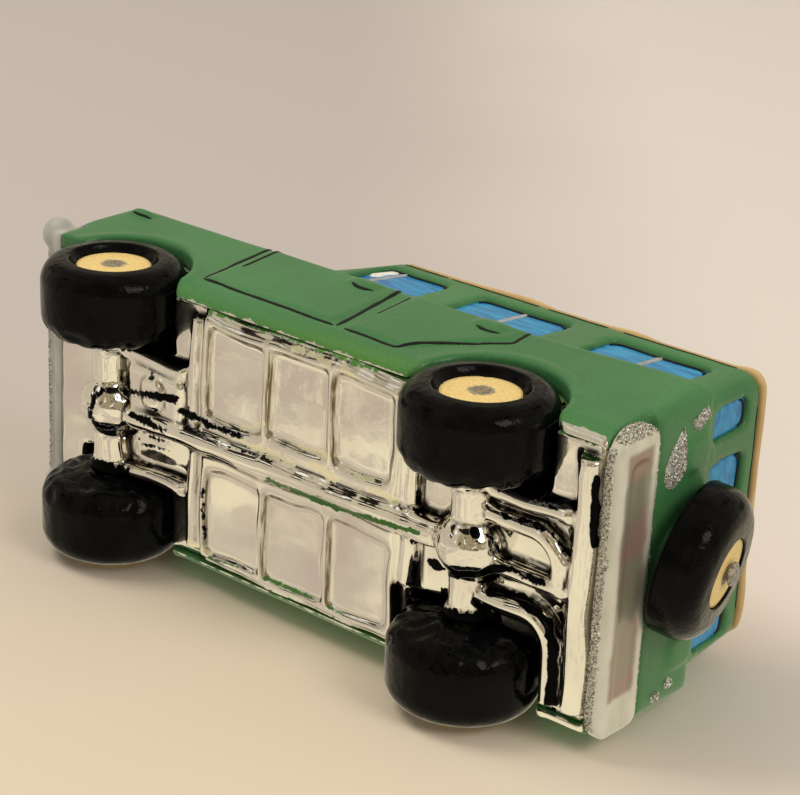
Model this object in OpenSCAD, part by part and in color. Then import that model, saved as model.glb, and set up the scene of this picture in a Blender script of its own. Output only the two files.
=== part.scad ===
// Toy sport-utility vehicle: a lacquered body on a mirror-plated underbody, with four turning wheels.
// +X is the vehicle's left, +Y its rear and +Z up.
// The origin is on the ground, under the middle of its length.

/* [Overall] */
// Distance between the front and rear axles
wheelbase = 62; // [58:0.5:68]
// Front axle to the face of the front bumper
front_overhang = 19.3; // [18:0.1:22]
// Rear axle to the face of the rear bumper
rear_overhang = 20.4; // [20:0.2:24]
// Width over the body sides at the ledge
body_w = 41.7; // [40.5:0.1:46]
// Height of the sill edge above the ground
sill_z = 9.3; // [8.8:0.1:9.5]
// Height of the ledge below the windows
waist_z = 28.5; // [27:0.5:32]
// Height of the gutter that carries the roof panel
gutter_z = 43; // [40:0.5:48]
// Thickness of the body wall
wall = 1.6; // [1.2:0.1:2]
// Radius of the body's upright corners
corner_r = 3; // [2:0.5:5]
// Inward lean of the body sides from the ledge down to the sills
flank_lean = 1.25; // [0.6:0.05:1.8]
// Radius along the waist ledge
edge_r = 1.5; // [0.8:0.1:2]
// Radius along the sills
sill_r = 3.6; // [2.4:0.1:4]
// Step from the rear bumper's face in to the body's rear face
tail_step = 0.8; // [0.4:0.1:1.6]

/* [Cabin] */
// Width of the ledge between body side and cabin
ledge_w = 2.05; // [1.4:0.05:2.6]
// Inward lean of the cabin sides up to the gutter
cabin_lean = 0.7; // [0:0.1:1.5]
// Front axle to the foot of the windscreen
screen_foot = 15.5; // [14:0.5:18]
// Backward lean of the windscreen up to the gutter
screen_lean = 5; // [2:0.5:8]
// Rear axle to the rear face of the cabin at the ledge
cabin_tail = 18.6; // [17:0.2:19]
// Forward lean of the rear face up to the gutter
tail_lean = 0.8; // [0:0.1:2]
// Radius of the cabin's upright corners
cabin_corner_r = 2.6; // [1.6:0.2:3]
// Thickness of the roof panel
roof_t = 2.3; // [1.6:0.1:4]
// Overhang of the roof panel as a gutter lip
gutter_lip = 0.4; // [0.2:0.1:0.8]
// Height of the bonnet's raised panel above the ledge
bonnet_rise = 1.2; // [0.6:0.1:2]
// Edge of the body to the foot of the bonnet's raised panel
bonnet_margin = 3.6; // [2.5:0.1:6]
// Inward slope of that panel's edges
bonnet_slope = 1.2; // [0.4:0.1:2]

/* [Windows] */
// Height of the lower edge of the glass above the ledge
glass_sill = 1.8; // [1.4:0.1:4]
// Depth of the upper edge of the glass below the gutter
glass_head = 2.8; // [2.4:0.1:4]
// Windscreen foot to the front edge of the front side window
front_pillar = 5.8; // [5:0.1:7]
// Length of the front side window
front_glass_l = 11.5; // [10:0.5:13]
// Backward slant of that window's front edge
window_slant = 0.6; // [0:0.1:1.2]
// Post between the front and rear side windows
middle_pillar = 5.6; // [4:0.1:7]
// Length of the rear side window
rear_glass_l = 14.8; // [12:0.2:16]
// Post between the rear side window and the quarter window
quarter_pillar = 6.4; // [4:0.1:8]
// Quarter window to the rear face of the cabin
tail_pillar = 6; // [4.5:0.1:7]
// Radius of the window corners
glass_r = 1.2; // [0.5:0.1:2]
// Depth of the glass below the cabin's surface
glass_recess = 0.7; // [0.3:0.1:0.9]
// Thickness of the flange that holds a pane behind the wall
glass_flange_t = 0.8; // [0.5:0.1:1.2]
// Overlap of that flange behind the wall
glass_flange_w = 1; // [0.6:0.1:1.2]
// Post between a rear corner window and the cabin's side
corner_post = 1.9; // [1.7:0.1:2.6]
// Width of each rear corner window
corner_glass_w = 4; // [3:0.1:4.4]
// Post between the tailgate window and a corner window
tailgate_pillar = 3.2; // [2.6:0.1:4]
// Width of the silver window bars
bar_w = 0.9; // [0.6:0.1:1.4]

/* [Doors] */
// Height of the doors' lower edges above the sill
door_sill = 4.1; // [3.6:0.1:6]
// Front axle to the front edge of the front door
door_front = 12.2; // [11.8:0.1:14]
// Post between the front and rear doors
door_post = 1.6; // [0.6:0.1:3]
// Rear axle to the rear edge of the rear door
door_rear = 6.4; // [5:0.1:9]
// Wheel arch to the end of the rear door's lower edge
door_kick_gap = 5; // [2:0.1:7]
// Depth of the rear door's rear edge below the door's top
door_kick_drop = 3.6; // [3:0.1:6]
// Width of the seams round the doors
seam_w = 0.45; // [0.3:0.05:0.8]
// Depth of those seams
seam_depth = 0.35; // [0.2:0.05:0.6]
// Length of the door handles
handle_l = 4.4; // [3:0.1:6]
// Height of the door handles
handle_h = 1.8; // [1:0.1:2.4]
// Top of a door to the middle of its handle
handle_drop = 1.4; // [1.2:0.1:3]
// Rear edge of the front door to the middle of its handle
front_handle_setback = 5.6; // [4:0.1:9]
// Rear edge of the rear door to the middle of its handle
rear_handle_setback = 4.7; // [4:0.1:9]
// Length of the repeaters on the front wings
repeater_l = 3.5; // [2.5:0.1:5]
// Body's front corner to the middle of a repeater
repeater_setback = 1.5; // [0:0.1:4]

/* [Wheels] */
// Diameter of the tyres
tyre_d = 19.4; // [18:0.2:20]
// Width of the tyres
tyre_w = 10.6; // [9:0.2:11]
// Radius of the tyre shoulders
tyre_shoulder = 3.2; // [2:0.1:3.3]
// How far the tyres stand out past the sills
tyre_proud = 1.1; // [0.8:0.1:1.6]
// Diameter of the wheel disc
hub_d = 9.4; // [8:0.2:9.6]
// Depth of the wheel disc below the tyre's outer face
hub_recess = 1.6; // [0.8:0.1:2]
// Flare of the tyre's mouth around the wheel disc
hub_mouth = 1.4; // [0.6:0.1:1.4]
// Depth of the wheel disc's back below the tyre's inner face
hub_back = 0.6; // [0.3:0.1:1]
// Diameter of the axle pins
axle_d = 2; // [1.6:0.1:2.4]
// Diameter of the domed heads on the axle pins
axle_head_d = 3; // [2.6:0.1:3.6]
// Height of those heads
axle_head_t = 0.6; // [0.4:0.1:0.8]
// Gap between a tyre and its wheel arch
arch_gap = 0.6; // [0.5:0.1:1.2]
// Widening of the wheel arches towards the sills
arch_flare = 1.5; // [0.6:0.1:2]
// Height of the arch lip over the body side
arch_lip = 0.25; // [0.1:0.05:0.6]
// Width of the arch lip
arch_lip_w = 1.2; // [0.6:0.1:2]

/* [Spare wheel] */
// Diameter of the spare tyre
spare_d = 19.2; // [18.8:0.2:20]
// Width of the spare tyre
spare_w = 6.4; // [6:0.2:8]
// Radius of the spare tyre's outer shoulder
spare_shoulder = 4.6; // [3:0.1:4.7]
// Radius of the spare tyre's inner shoulder
spare_inner_shoulder = 1.7; // [1:0.1:1.8]
// Diameter of the spare wheel's disc
spare_hub_d = 8.8; // [7:0.2:9]
// Depth of that disc below the tyre's outer face
spare_recess = 0.7; // [0.7:0.1:1]
// Flare of the spare tyre's mouth around its disc
spare_mouth = 0.3; // [0.1:0.1:0.4]
// Height of the middle of the spare wheel's seat
spare_z = 25; // [24:0.5:28]
// Upward tilt of the spare wheel's face, in degrees
spare_tilt = 8; // [0:1:10]
// Diameter of the pad that carries the spare wheel
carrier_d = 11; // [8:0.5:13]
// Thickness of that pad along its middle
carrier_t = 1.2; // [1:0.1:2]

/* [Bumpers and lamps] */
// Front bumper's face to the body's front face
bumper_depth = 3.55; // [3:0.05:4.4]
// Diameter of the front bumper's bar
front_bar_d = 3.2; // [2.4:0.1:4]
// Diameter of the balls that end the front bumper
front_ball_d = 4.8; // [4.2:0.1:5]
// How far those balls stand out past the body side
front_bumper_proud = 0.1; // [-0.5:0.05:0.6]
// Thickness of the underbody behind the front bumper
chin_skin = 1.7; // [1.4:0.1:2.6]
// Height of the lower edge of the rear bumper
rear_bumper_z = 9.6; // [9.4:0.1:11]
// Height of the rear bumper
rear_bumper_h = 8.6; // [7:0.1:8.8]
// How far each end of the rear bumper stands out past the body side
rear_bumper_proud = -0.85; // [-1.5:0.05:0.5]
// Radius of the rear bumper's long edges
bumper_r = 1.4; // [0.6:0.1:1.6]
// Depth of the channel along the rear bumper's face
bumper_channel = 0.5; // [0.2:0.1:0.8]
// Height of that channel
channel_h = 3.8; // [2.4:0.1:4.4]
// End of the rear bumper to the end of that channel
channel_inset = 4; // [3:0.1:6]
// Depth of the lamps' centres below the ledge
lamp_drop = 6.6; // [6:0.1:7.5]
// Thickness of the lamps and the grille
trim_t = 0.8; // [0.5:0.1:1.2]
// Diameter of the headlamps
headlamp_d = 6; // [4:0.5:7]
// Body side to the middle of a headlamp
headlamp_inset = 8.85; // [7.8:0.05:9.5]
// Width of the rim around a headlamp's dish
headlamp_rim = 0.6; // [0.3:0.1:1]
// Diameter of the front indicators
indicator_d = 2.8; // [2:0.1:3]
// Height of the indicators above the headlamps' centres
indicator_rise = 3; // [2:0.1:3.6]
// Gap between the grille and a headlamp
grille_gap = 1.5; // [0.6:0.1:3]
// Width of the grille's frame
grille_frame = 1; // [0.6:0.1:1.6]
// Number of grille slats
grille_slats = 5; // [3:1:8]
// Body side to the middle of a tail lamp
tail_lamp_inset = 5.85; // [5.4:0.05:7]
// Length of the tail lamps
tail_lamp_l = 5.4; // [4:0.1:6]
// Height of the tail lamps
tail_lamp_h = 3; // [2:0.1:3.4]
// Diameter of the marker lamps above the tail lamps
marker_d = 2.6; // [1.6:0.1:2.8]
// Depth of the marker lamps' centres below the ledge
marker_drop = 2.9; // [2.6:0.1:3.2]
// Width of the hinge pads beside the tailgate
hinge_pad_w = 4; // [2.5:0.1:4.2]
// Height of the hinge pads
hinge_pad_h = 3; // [2:0.1:3.4]
// How far the hinge pads stand out
hinge_pad_t = 0.5; // [0.3:0.1:0.8]

/* [Underbody] */
// Height of the underbody's plate around the axles
floor_z = 10.6; // [9.8:0.1:11]
// Height of the crests of the floor ribs
rib_z = 8.7; // [8.2:0.1:9]
// Thickness of the underbody above the differentials
base_skin = 0.6; // [0.4:0.1:1.5]
// Number of floor panels on each side
panel_rows = 3; // [2:1:4]
// Width of the floor ribs
rib_w = 1.4; // [1:0.1:2.5]
// Depth of the floor panels above the rib crests
panel_depth = 0.8; // [0.4:0.1:1.4]
// Width of the rails between the floor panels and the body sides
sill_rail_w = 1.7; // [1.4:0.1:3]
// Front wheel arches to the panelled floor
panel_front_gap = 7; // [5:0.1:8]
// Panelled floor to the rear wheel arches
panel_rear_gap = 1; // [0.6:0.1:3]
// Inward slope of the floor panels' edges
panel_taper = 0.6; // [0.3:0.1:1]
// Radius of the floor panels' corners
panel_corner_r = 1.2; // [0.6:0.1:2]
// Width of the tunnel between the columns of panels
tunnel_w = 7; // [5:0.5:9]
// Diameter of the cross-members
member_d = 2.6; // [2:0.1:3]
// Panelled floor to the middle of a cross-member
member_offset = 1.6; // [1.2:0.1:2]
// Diameter of the rail inside the rear bumper
rail_d = 3.4; // [2.4:0.1:4]
// Thickness of the wheel houses
well_wall = 1.2; // [0.8:0.1:1.6]
// Diameter of the propeller shaft
propshaft_d = 3.4; // [2.4:0.1:4]
// Height of the propeller shaft's axis above the rib crests
propshaft_rise = 0.5; // [0:0.1:1]
// Diameter of the axle tubes
axle_tube_d = 5.2; // [4.4:0.1:5.8]
// Thickness of the flanges at the ends of the axle tubes
flange_t = 1.2; // [0.8:0.1:2]
// How far those flanges stand out from the tubes
flange_lip = 0.5; // [0.2:0.1:1]
// Diameter of the differential bulges
diff_d = 8.6; // [7:0.2:9]
// Diameter of the suspension arms
arm_d = 2.2; // [1.6:0.1:2.6]
// Gap between the two left rear arms
arm_gap = 1; // [0.5:0.1:1.5]
// Diameter of the exhaust pipe
exhaust_d = 2.6; // [1.8:0.1:2.8]
// End of the exhaust pipe to the underbody's side
exhaust_inset = 1.8; // [1.6:0.1:5]
// Bend radius of the exhaust pipe and the bent arm
bend_r = 4; // [2.6:0.1:5]
// Height of the gear housing beside the propeller shaft
case_h = 2.4; // [1.5:0.1:3]
// Radius of the gear housing's corners
case_r = 0.7; // [0.3:0.1:1.2]
// Height of the round cover below the gear housing
case_cover_t = 0.6; // [0.3:0.1:1]
// Diameter of the posts inside the body
post_d = 6; // [5:0.5:7]
// Diameter of the pegs that press into the posts
peg_d = 2.8; // [2:0.1:3.2]
// Length of those pegs
peg_h = 5; // [3:0.5:8]

/* [Clearances] */
// Gap between pieces that are fitted together
fit_gap = 0.1; // [0.05:0.05:0.2]
// Radial gap between a wheel and its axle pin
run_gap = 0.06; // [0.03:0.01:0.1]
// Sideways play of a wheel on its axle pin
end_play = 0.3; // [0.2:0.1:0.5]

/* [Hidden] */
$fn = 72;
arc_steps = 6;
past = 5;      // how far a cutting solid runs past the face that it cuts
overlap = 0.5; // how far joined shapes of one piece run into each other
slab = 0.01;   // thickness of the slices that a loft runs between
least_r = 0.4; // smallest radius of an inner corner

paint_green = [0.22, 0.47, 0.29];
paint_cream = [0.86, 0.73, 0.47];
paint_blue = [0.16, 0.48, 0.75];
paint_black = [0.03, 0.03, 0.03];
paint_gold = [0.85, 0.68, 0.38];
plate_mirror = [0.84, 0.82, 0.78];
frost_silver = [0.74, 0.72, 0.69];

// Lengthwise places
spare_rim_r = spare_d / 2 - spare_shoulder;
spare_reach = carrier_t + spare_w * cos(spare_tilt) + spare_rim_r * sin(spare_tilt)
    + spare_shoulder * (1 - cos(spare_tilt)) - tail_step;
overall_l = front_overhang + wheelbase + rear_overhang + spare_reach;
front_axle_y = front_overhang - overall_l / 2;
rear_axle_y = front_axle_y + wheelbase;
axle_ys = [front_axle_y, rear_axle_y];
front_bumper_y = front_axle_y - front_overhang;
rear_bumper_y = rear_axle_y + rear_overhang;
body_front_y = front_bumper_y + bumper_depth;
body_rear_y = rear_bumper_y - tail_step;
body_l = body_rear_y - body_front_y;
body_mid_y = (body_rear_y + body_front_y) / 2;
half_w = body_w / 2;
sill_half = half_w - flank_lean;

// Cabin places
cabin_half = half_w - ledge_w;
screen_y = front_axle_y + screen_foot;
cabin_rear_y = rear_axle_y + cabin_tail;
glass_low_z = waist_z + glass_sill;
glass_high_z = gutter_z - glass_head;
front_glass_y = screen_y + front_pillar;
rear_glass_y = front_glass_y + front_glass_l + middle_pillar;
quarter_glass_y = rear_glass_y + rear_glass_l + quarter_pillar;
quarter_glass_end_y = cabin_rear_y - tail_pillar;
// Each side window: front edge, rear edge, backward slant of its front edge
side_windows = [
    [front_glass_y, front_glass_y + front_glass_l, window_slant],
    [rear_glass_y, rear_glass_y + rear_glass_l, 0],
    [quarter_glass_y, quarter_glass_end_y, 0]
];
// Where the silver bar crosses each side window, as a share of its length
bar_places = [0.22, 0.5, 0.5];
pane_depth = wall + fit_gap + glass_flange_t + overlap;
screen_half = cabin_half - cabin_lean - pane_depth - glass_flange_w - fit_gap;
corner_glass_x = cabin_half - cabin_lean - corner_post - corner_glass_w / 2;
tailgate_glass_w = 2 * (corner_glass_x - corner_glass_w / 2 - tailgate_pillar);
tailgate_half = (tailgate_glass_w + tailgate_pillar) / 2;

// Wheel places
tyre_r = tyre_d / 2;
hub_r = hub_d / 2;
spare_hub_r = spare_hub_d / 2;
axle_r = axle_d / 2;
axle_z = tyre_r;
tyre_out_x = sill_half + tyre_proud;
tyre_in_x = tyre_out_x - tyre_w;
hub_face_x = tyre_out_x - hub_recess;
arch_r = tyre_r + arch_gap;
well_in_x = tyre_in_x - arch_gap;

// Underbody places
cavity_half = sill_half - wall;
base_half = cavity_half - fit_gap;
base_front_y = body_front_y + wall + fit_gap;
base_rear_y = body_rear_y - wall - fit_gap;
base_top_z = axle_z + diff_d / 2 + fit_gap + base_skin;
panels_half = base_half - sill_rail_w;
panels_front_y = front_axle_y + arch_r + panel_front_gap;
panels_rear_y = rear_axle_y - arch_r - panel_rear_gap;
panel_pitch = (panels_rear_y - panels_front_y) / panel_rows;
member_r = member_d / 2;
rail_r = rail_d / 2;
propshaft_z = rib_z + propshaft_rise;
tube_end_x = well_in_x - fit_gap;
flange_r = axle_tube_d / 2 + flange_lip;
arm_front_y = panels_front_y - member_offset - member_r - fit_gap;
arm_rear_y = base_rear_y - rail_d - fit_gap;
arm_z = floor_z - arm_d / 2 - fit_gap;
arm_x = well_in_x - arm_d / 2 - fit_gap;
post_r = post_d / 2;
peg_r = peg_d / 2;
post_ys = [screen_y - post_r - overlap, panels_rear_y];

// Doors: the seams are shallow grooves in the body side
seam_r = 0.8;
door_kick_r = 1.5;
door_bottom_z = sill_z + door_sill;
door_top_z = waist_z - edge_r;
door_front_y = front_axle_y + door_front;
door_split_y = front_glass_y + front_glass_l + middle_pillar / 2;
rear_door_y = door_split_y + door_post;
door_rear_y = rear_axle_y - door_rear;
door_kick_y = rear_axle_y - arch_r - door_kick_gap;
door_kick_z = door_top_z - door_kick_drop;
handle_z = door_top_z - handle_drop;
handle_x = sill_half + flank_lean * (handle_z - sill_z) / (waist_z - sill_z);
handle_ys = [door_split_y - front_handle_setback, door_rear_y - rear_handle_setback];
repeater_y = body_front_y + corner_r + repeater_setback;

// Bumpers and lamps
chin_z = base_top_z - chin_skin;
front_bumper_top_z = chin_z + front_ball_d;
rear_bumper_top_z = rear_bumper_z + rear_bumper_h;
lamp_z = waist_z - lamp_drop;
headlamp_x = half_w - headlamp_inset;
grille_half = headlamp_x - headlamp_d / 2 - grille_gap;
indicator_gap = 0.2;
indicator_x = headlamp_x + (headlamp_d + indicator_d) / 2 + indicator_gap;
tail_lamp_x = half_w - tail_lamp_inset;
marker_overhang = 0.6; // how far the marker lamps run on to the rounded corners
marker_x = half_w - corner_r - marker_d / 2 + marker_overhang;
marker_z = waist_z - marker_drop;
trim_gap = 1; // gap between the bumpers and what stands above them
hinge_pad_gap = 0.4; // gap between the tailgate's seam and the hinge pads

// Outline helpers

// Points of the arc that rounds corner p between its neighbours a and b
function corner_arc(a, p, b, r) =
    let (u = (a - p) / norm(a - p), v = (b - p) / norm(b - p), half = acos(u * v) / 2)
    let (c = p + (u + v) / norm(u + v) * r / sin(half))
    let (p0 = p + u * r / tan(half) - c, p1 = p + v * r / tan(half) - c)
    let (a0 = atan2(p0.y, p0.x), turn = (atan2(p1.y, p1.x) - a0 + 540) % 360 - 180)
    [for (i = [0 : arc_steps]) c + r * [cos(a0 + turn * i / arc_steps), sin(a0 + turn * i / arc_steps)]];

// Closed outline through [x, y, radius] corners, each rounded by its own radius
function rounded(corners) =
    let (n = len(corners))
    [for (i = [0 : n - 1])
        let (p = corners[i], a = corners[(i + n - 1) % n], b = corners[(i + 1) % n])
        each p[2] > 0 ? corner_arc([a.x, a.y], [p.x, p.y], [b.x, b.y], p[2]) : [[p.x, p.y]]];

function rounded_box(x0, y0, x1, y1, r) = rounded([[x0, y0, r], [x1, y0, r], [x1, y1, r], [x0, y1, r]]);

// Extrudes a (y, z) outline across the vehicle
module across(l) rotate([90, 0, 90]) linear_extrude(l, center = true) children();

// Extrudes an (x, z) outline along the vehicle
module lengthwise(l) rotate([90, 0, 0]) linear_extrude(l, center = true) children();

// A round bar across the vehicle, centred on x = 0
module cross_bar(r, l) rotate([0, 90, 0]) cylinder(r = r, h = l, center = true);

// A round bar between two points that share a height
module bar_between(p, q, r) {
    d = q - p;
    translate(p) rotate([0, 90, atan2(d.y, d.x)]) cylinder(r = r, h = norm(d));
}

// Makes the same shape on both sides of the vehicle
module both_sides() {
    children();
    mirror([1, 0, 0]) children();
}

// Body

// Cross-section of the lower body, grown sideways by grow
function body_section(grow) = rounded([
    [-sill_half - grow, sill_z, sill_r], [sill_half + grow, sill_z, sill_r],
    [half_w + grow, waist_z, edge_r], [-half_w - grow, waist_z, edge_r]]);

module body_prism(grow) translate([0, body_mid_y, 0]) lengthwise(body_l + past) polygon(body_section(grow));

module lower_body() intersection() {
    body_prism(0);
    across(body_w + past) polygon(rounded([
        [body_front_y, sill_z, edge_r], [body_rear_y, sill_z, edge_r],
        [body_rear_y, waist_z, edge_r], [body_front_y, waist_z, edge_r]]));
    translate([0, 0, sill_z]) linear_extrude(waist_z - sill_z)
        polygon(rounded_box(-half_w, body_front_y, half_w, body_rear_y, corner_r));
}

// Plan of the cabin at a share of its height, moved in from every side by inset
module cabin_plan(share, inset) {
    half = cabin_half - cabin_lean * share - inset;
    polygon(rounded_box(
        -half, screen_y + screen_lean * share + inset,
        half, cabin_rear_y - tail_lean * share - inset,
        max(cabin_corner_r - inset, least_r)));
}

// The cabin as a loft from the ledge to the gutter, moved in by inset; top is how far its top is lowered
module cabin_solid(inset, top) {
    top_z = gutter_z - top;
    hull() {
        translate([0, 0, waist_z]) linear_extrude(slab) cabin_plan(0, inset);
        translate([0, 0, top_z - slab]) linear_extrude(slab)
            cabin_plan((top_z - waist_z) / (gutter_z - waist_z), inset);
    }
}

// The upright foot of the cabin, which carries the loft down into the body
module cabin_foot(inset, drop) {
    translate([0, 0, waist_z - drop]) linear_extrude(drop + slab / 2) cabin_plan(0, inset);
}

// Raised panel on top of the bonnet
module bonnet_panel() {
    foot = bonnet_margin;
    crest = bonnet_margin + bonnet_slope;
    hull() {
        translate([0, 0, waist_z - overlap]) linear_extrude(overlap) polygon(rounded_box(
            -half_w + foot, body_front_y + foot, half_w - foot, screen_y + overlap, corner_r));
        translate([0, 0, waist_z + bonnet_rise - slab]) linear_extrude(slab) polygon(rounded_box(
            -half_w + crest, body_front_y + crest, half_w - crest, screen_y + overlap, corner_r));
    }
}

function side_window_outline(w, grow) = rounded([
    [w[0] - grow, glass_low_z - grow, glass_r], [w[1] + grow, glass_low_z - grow, glass_r],
    [w[1] + grow, glass_high_z + grow, glass_r], [w[0] + w[2] - grow, glass_high_z + grow, glass_r]]);

// A prism through the left wall of the cabin at a side window
module side_window_prism(w, grow) {
    x0 = cabin_half - cabin_lean - pane_depth;
    translate([x0 + past, 0, 0]) across(2 * past) polygon(side_window_outline(w, grow));
}

// A prism through the front wall of the cabin at the windscreen
module screen_prism(grow) {
    half = screen_half + grow;
    y1 = screen_y + screen_lean + pane_depth;
    translate([0, (screen_y - past + y1) / 2, 0]) lengthwise(y1 - screen_y + past)
        polygon(rounded_box(-half, glass_low_z - grow, half, glass_high_z + grow, glass_r));
}

// A prism through the rear wall of the cabin at a window centred on x
module rear_window_prism(x, w, grow) {
    y0 = cabin_rear_y - tail_lean - pane_depth;
    translate([x, y0 + past, 0]) lengthwise(2 * past) polygon(rounded_box(
        -w / 2 - grow, glass_low_z - grow, w / 2 + grow, glass_high_z + grow, glass_r));
}

module all_window_prisms() {
    both_sides() for (w = side_windows) side_window_prism(w, 0);
    screen_prism(0);
    rear_window_prism(0, tailgate_glass_w, 0);
    both_sides() rear_window_prism(corner_glass_x, corner_glass_w, 0);
}

function front_door_outline(grow) = rounded([
    [door_front_y - grow, door_bottom_z - grow, seam_r], [door_split_y + grow, door_bottom_z - grow, seam_r],
    [door_split_y + grow, door_top_z + grow, 0], [door_front_y - grow, door_top_z + grow, 0]]);

function rear_door_outline(grow) = rounded([
    [rear_door_y - grow, door_bottom_z - grow, seam_r],
    [door_kick_y + grow, door_bottom_z - grow, door_kick_r],
    [door_rear_y + grow, door_kick_z - grow, door_kick_r],
    [door_rear_y + grow, door_top_z + grow, 0],
    [rear_door_y - grow, door_top_z + grow, 0]]);

// A narrow ring just inside an outline
module seam_ring(outer, inner) {
    difference() {
        polygon(outer);
        polygon(inner);
    }
}

module door_seams() {
    difference() {
        both_sides() translate([half_w, 0, 0]) across(past) {
            seam_ring(front_door_outline(0), front_door_outline(-seam_w));
            seam_ring(rear_door_outline(0), rear_door_outline(-seam_w));
        }
        body_prism(-seam_depth);
    }
    tailgate_low_z = rear_bumper_top_z + trim_gap;
    translate([0, body_rear_y + past / 2 - seam_depth, 0]) lengthwise(past) difference() {
        polygon(rounded_box(-tailgate_half, tailgate_low_z, tailgate_half, waist_z + past, seam_r));
        polygon(rounded_box(-tailgate_half + seam_w, tailgate_low_z + seam_w,
            tailgate_half - seam_w, waist_z + past, seam_r));
    }
}

// Raised pads on the rear face, beside the tailgate's upper corners
module hinge_pads() {
    x0 = tailgate_half + hinge_pad_gap;
    z0 = waist_z - edge_r - hinge_pad_h;
    pad_r = hinge_pad_h / 4;
    both_sides() translate([0, body_rear_y, 0]) lengthwise(2 * hinge_pad_t)
        polygon(rounded_box(x0, z0, x0 + hinge_pad_w, z0 + hinge_pad_h, pad_r));
}

// Lips around the four wheel arches, before the arches are cut
module arch_lips() intersection() {
    body_prism(arch_lip);
    for (y = axle_ys) translate([0, y, axle_z]) cross_bar(arch_r + arch_lip_w, body_w + past);
}

// Wheel arches: round above the axles and wider towards the sills
module arch_cuts() {
    for (y = axle_ys) translate([0, y, 0]) {
        translate([0, 0, axle_z]) cross_bar(arch_r, body_w + 2 * past);
        across(body_w + 2 * past) polygon([[-arch_r, axle_z + arch_flare], [arch_r, axle_z + arch_flare],
            [arch_r + arch_flare, sill_z - slab], [-arch_r - arch_flare, sill_z - slab]]);
    }
}

// Room for the bumpers under the front and rear walls, and for the raised chin ahead of the front wheels
module bumper_cuts() {
    depth = wall + fit_gap;
    low_z = sill_z - past;
    translate([-body_w, body_front_y - past + depth, low_z])
        cube([2 * body_w, past, front_bumper_top_z + fit_gap - low_z]);
    translate([-body_w, body_rear_y - depth, low_z])
        cube([2 * body_w, past, rear_bumper_top_z + fit_gap - low_z]);
    translate([-body_w, body_front_y - past, low_z])
        cube([2 * body_w, front_axle_y - body_front_y + past, chin_z - low_z]);
}

module cavity() {
    translate([0, 0, sill_z - past]) linear_extrude(waist_z - wall - sill_z + past)
        polygon(rounded_box(-cavity_half, body_front_y + wall, cavity_half, body_rear_y - wall,
            max(corner_r - wall, least_r)));
    cabin_solid(wall, wall);
    cabin_foot(wall, wall + overlap);
}

// Posts inside the body that the underbody's pegs press into
module inner_posts() {
    post_tops = [waist_z - wall + overlap, gutter_z - wall + overlap];
    for (i = [0, 1]) translate([0, post_ys[i], base_top_z]) difference() {
        cylinder(r = post_r, h = post_tops[i] - base_top_z);
        translate([0, 0, -past]) cylinder(r = peg_r + fit_gap, h = past + peg_h + fit_gap);
    }
}

module body_shell() color(paint_green) {
    difference() {
        union() {
            lower_body();
            cabin_solid(0, 0);
            cabin_foot(0, overlap);
            bonnet_panel();
            hinge_pads();
            arch_lips();
        }
        cavity();
        all_window_prisms();
        arch_cuts();
        bumper_cuts();
        door_seams();
    }
    inner_posts();
}

module roof_panel() color(paint_cream) {
    brim_t = 0.4 * roof_t;
    shoulder_z = gutter_z + 0.8 * roof_t;
    shoulder = 0.4;
    crown = 1.6;
    hull() {
        translate([0, 0, gutter_z]) linear_extrude(brim_t) cabin_plan(1, -gutter_lip);
        translate([0, 0, shoulder_z]) linear_extrude(slab) cabin_plan(1, shoulder);
        translate([0, 0, gutter_z + roof_t - slab]) linear_extrude(slab) cabin_plan(1, crown);
    }
}

// Panes

// A pane that fills its opening and is held by a flange behind the wall; the two children are its prisms
module pane() color(paint_blue) difference() {
    union() {
        intersection() {
            children(0);
            cabin_solid(glass_recess, glass_recess);
        }
        intersection() {
            children(1);
            cabin_solid(wall + fit_gap, wall + fit_gap);
        }
    }
    cabin_solid(wall + fit_gap + glass_flange_t, 0);
}

module side_window(i) pane() {
    side_window_prism(side_windows[i], -fit_gap);
    side_window_prism(side_windows[i], glass_flange_w);
}

module windscreen() pane() {
    screen_prism(-fit_gap);
    screen_prism(glass_flange_w);
}

module tailgate_window() pane() {
    rear_window_prism(0, tailgate_glass_w, -fit_gap);
    rear_window_prism(0, tailgate_glass_w, glass_flange_w);
}

module rear_corner_windows() both_sides() pane() {
    rear_window_prism(corner_glass_x, corner_glass_w, -fit_gap);
    rear_window_prism(corner_glass_x, corner_glass_w, -fit_gap);
}

// Upright silver bars that lie on the panes of the side windows
module window_bars() color(frost_silver) both_sides() for (i = [0 : len(side_windows) - 1]) {
    w = side_windows[i];
    y = w[0] + (w[1] - w[0]) * bar_places[i];
    bar_t = glass_recess / 2;
    intersection() {
        translate([cabin_half, y, 0]) across(2 * past) polygon(rounded_box(
            -bar_w / 2, glass_low_z + fit_gap, bar_w / 2, glass_high_z - fit_gap, bar_w / 4));
        difference() {
            cabin_solid(glass_recess - bar_t, 0);
            cabin_solid(glass_recess, 0);
        }
    }
}

// Underbody

// A rounded pocket that narrows as it goes up into the floor
module floor_pocket(x0, y0, x1, y1) {
    hull() {
        translate([0, 0, rib_z - slab]) linear_extrude(slab)
            polygon(rounded_box(x0, y0, x1, y1, panel_corner_r));
        translate([0, 0, rib_z + panel_depth - slab]) linear_extrude(slab) polygon(rounded_box(
            x0 + panel_taper, y0 + panel_taper, x1 - panel_taper, y1 - panel_taper, panel_corner_r));
    }
}

module floor_pockets() {
    both_sides() for (row = [0 : panel_rows - 1]) {
        y = panels_front_y + row * panel_pitch;
        floor_pocket(tunnel_w / 2, y + rib_w / 2, panels_half, y + panel_pitch - rib_w / 2);
    }
}

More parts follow.
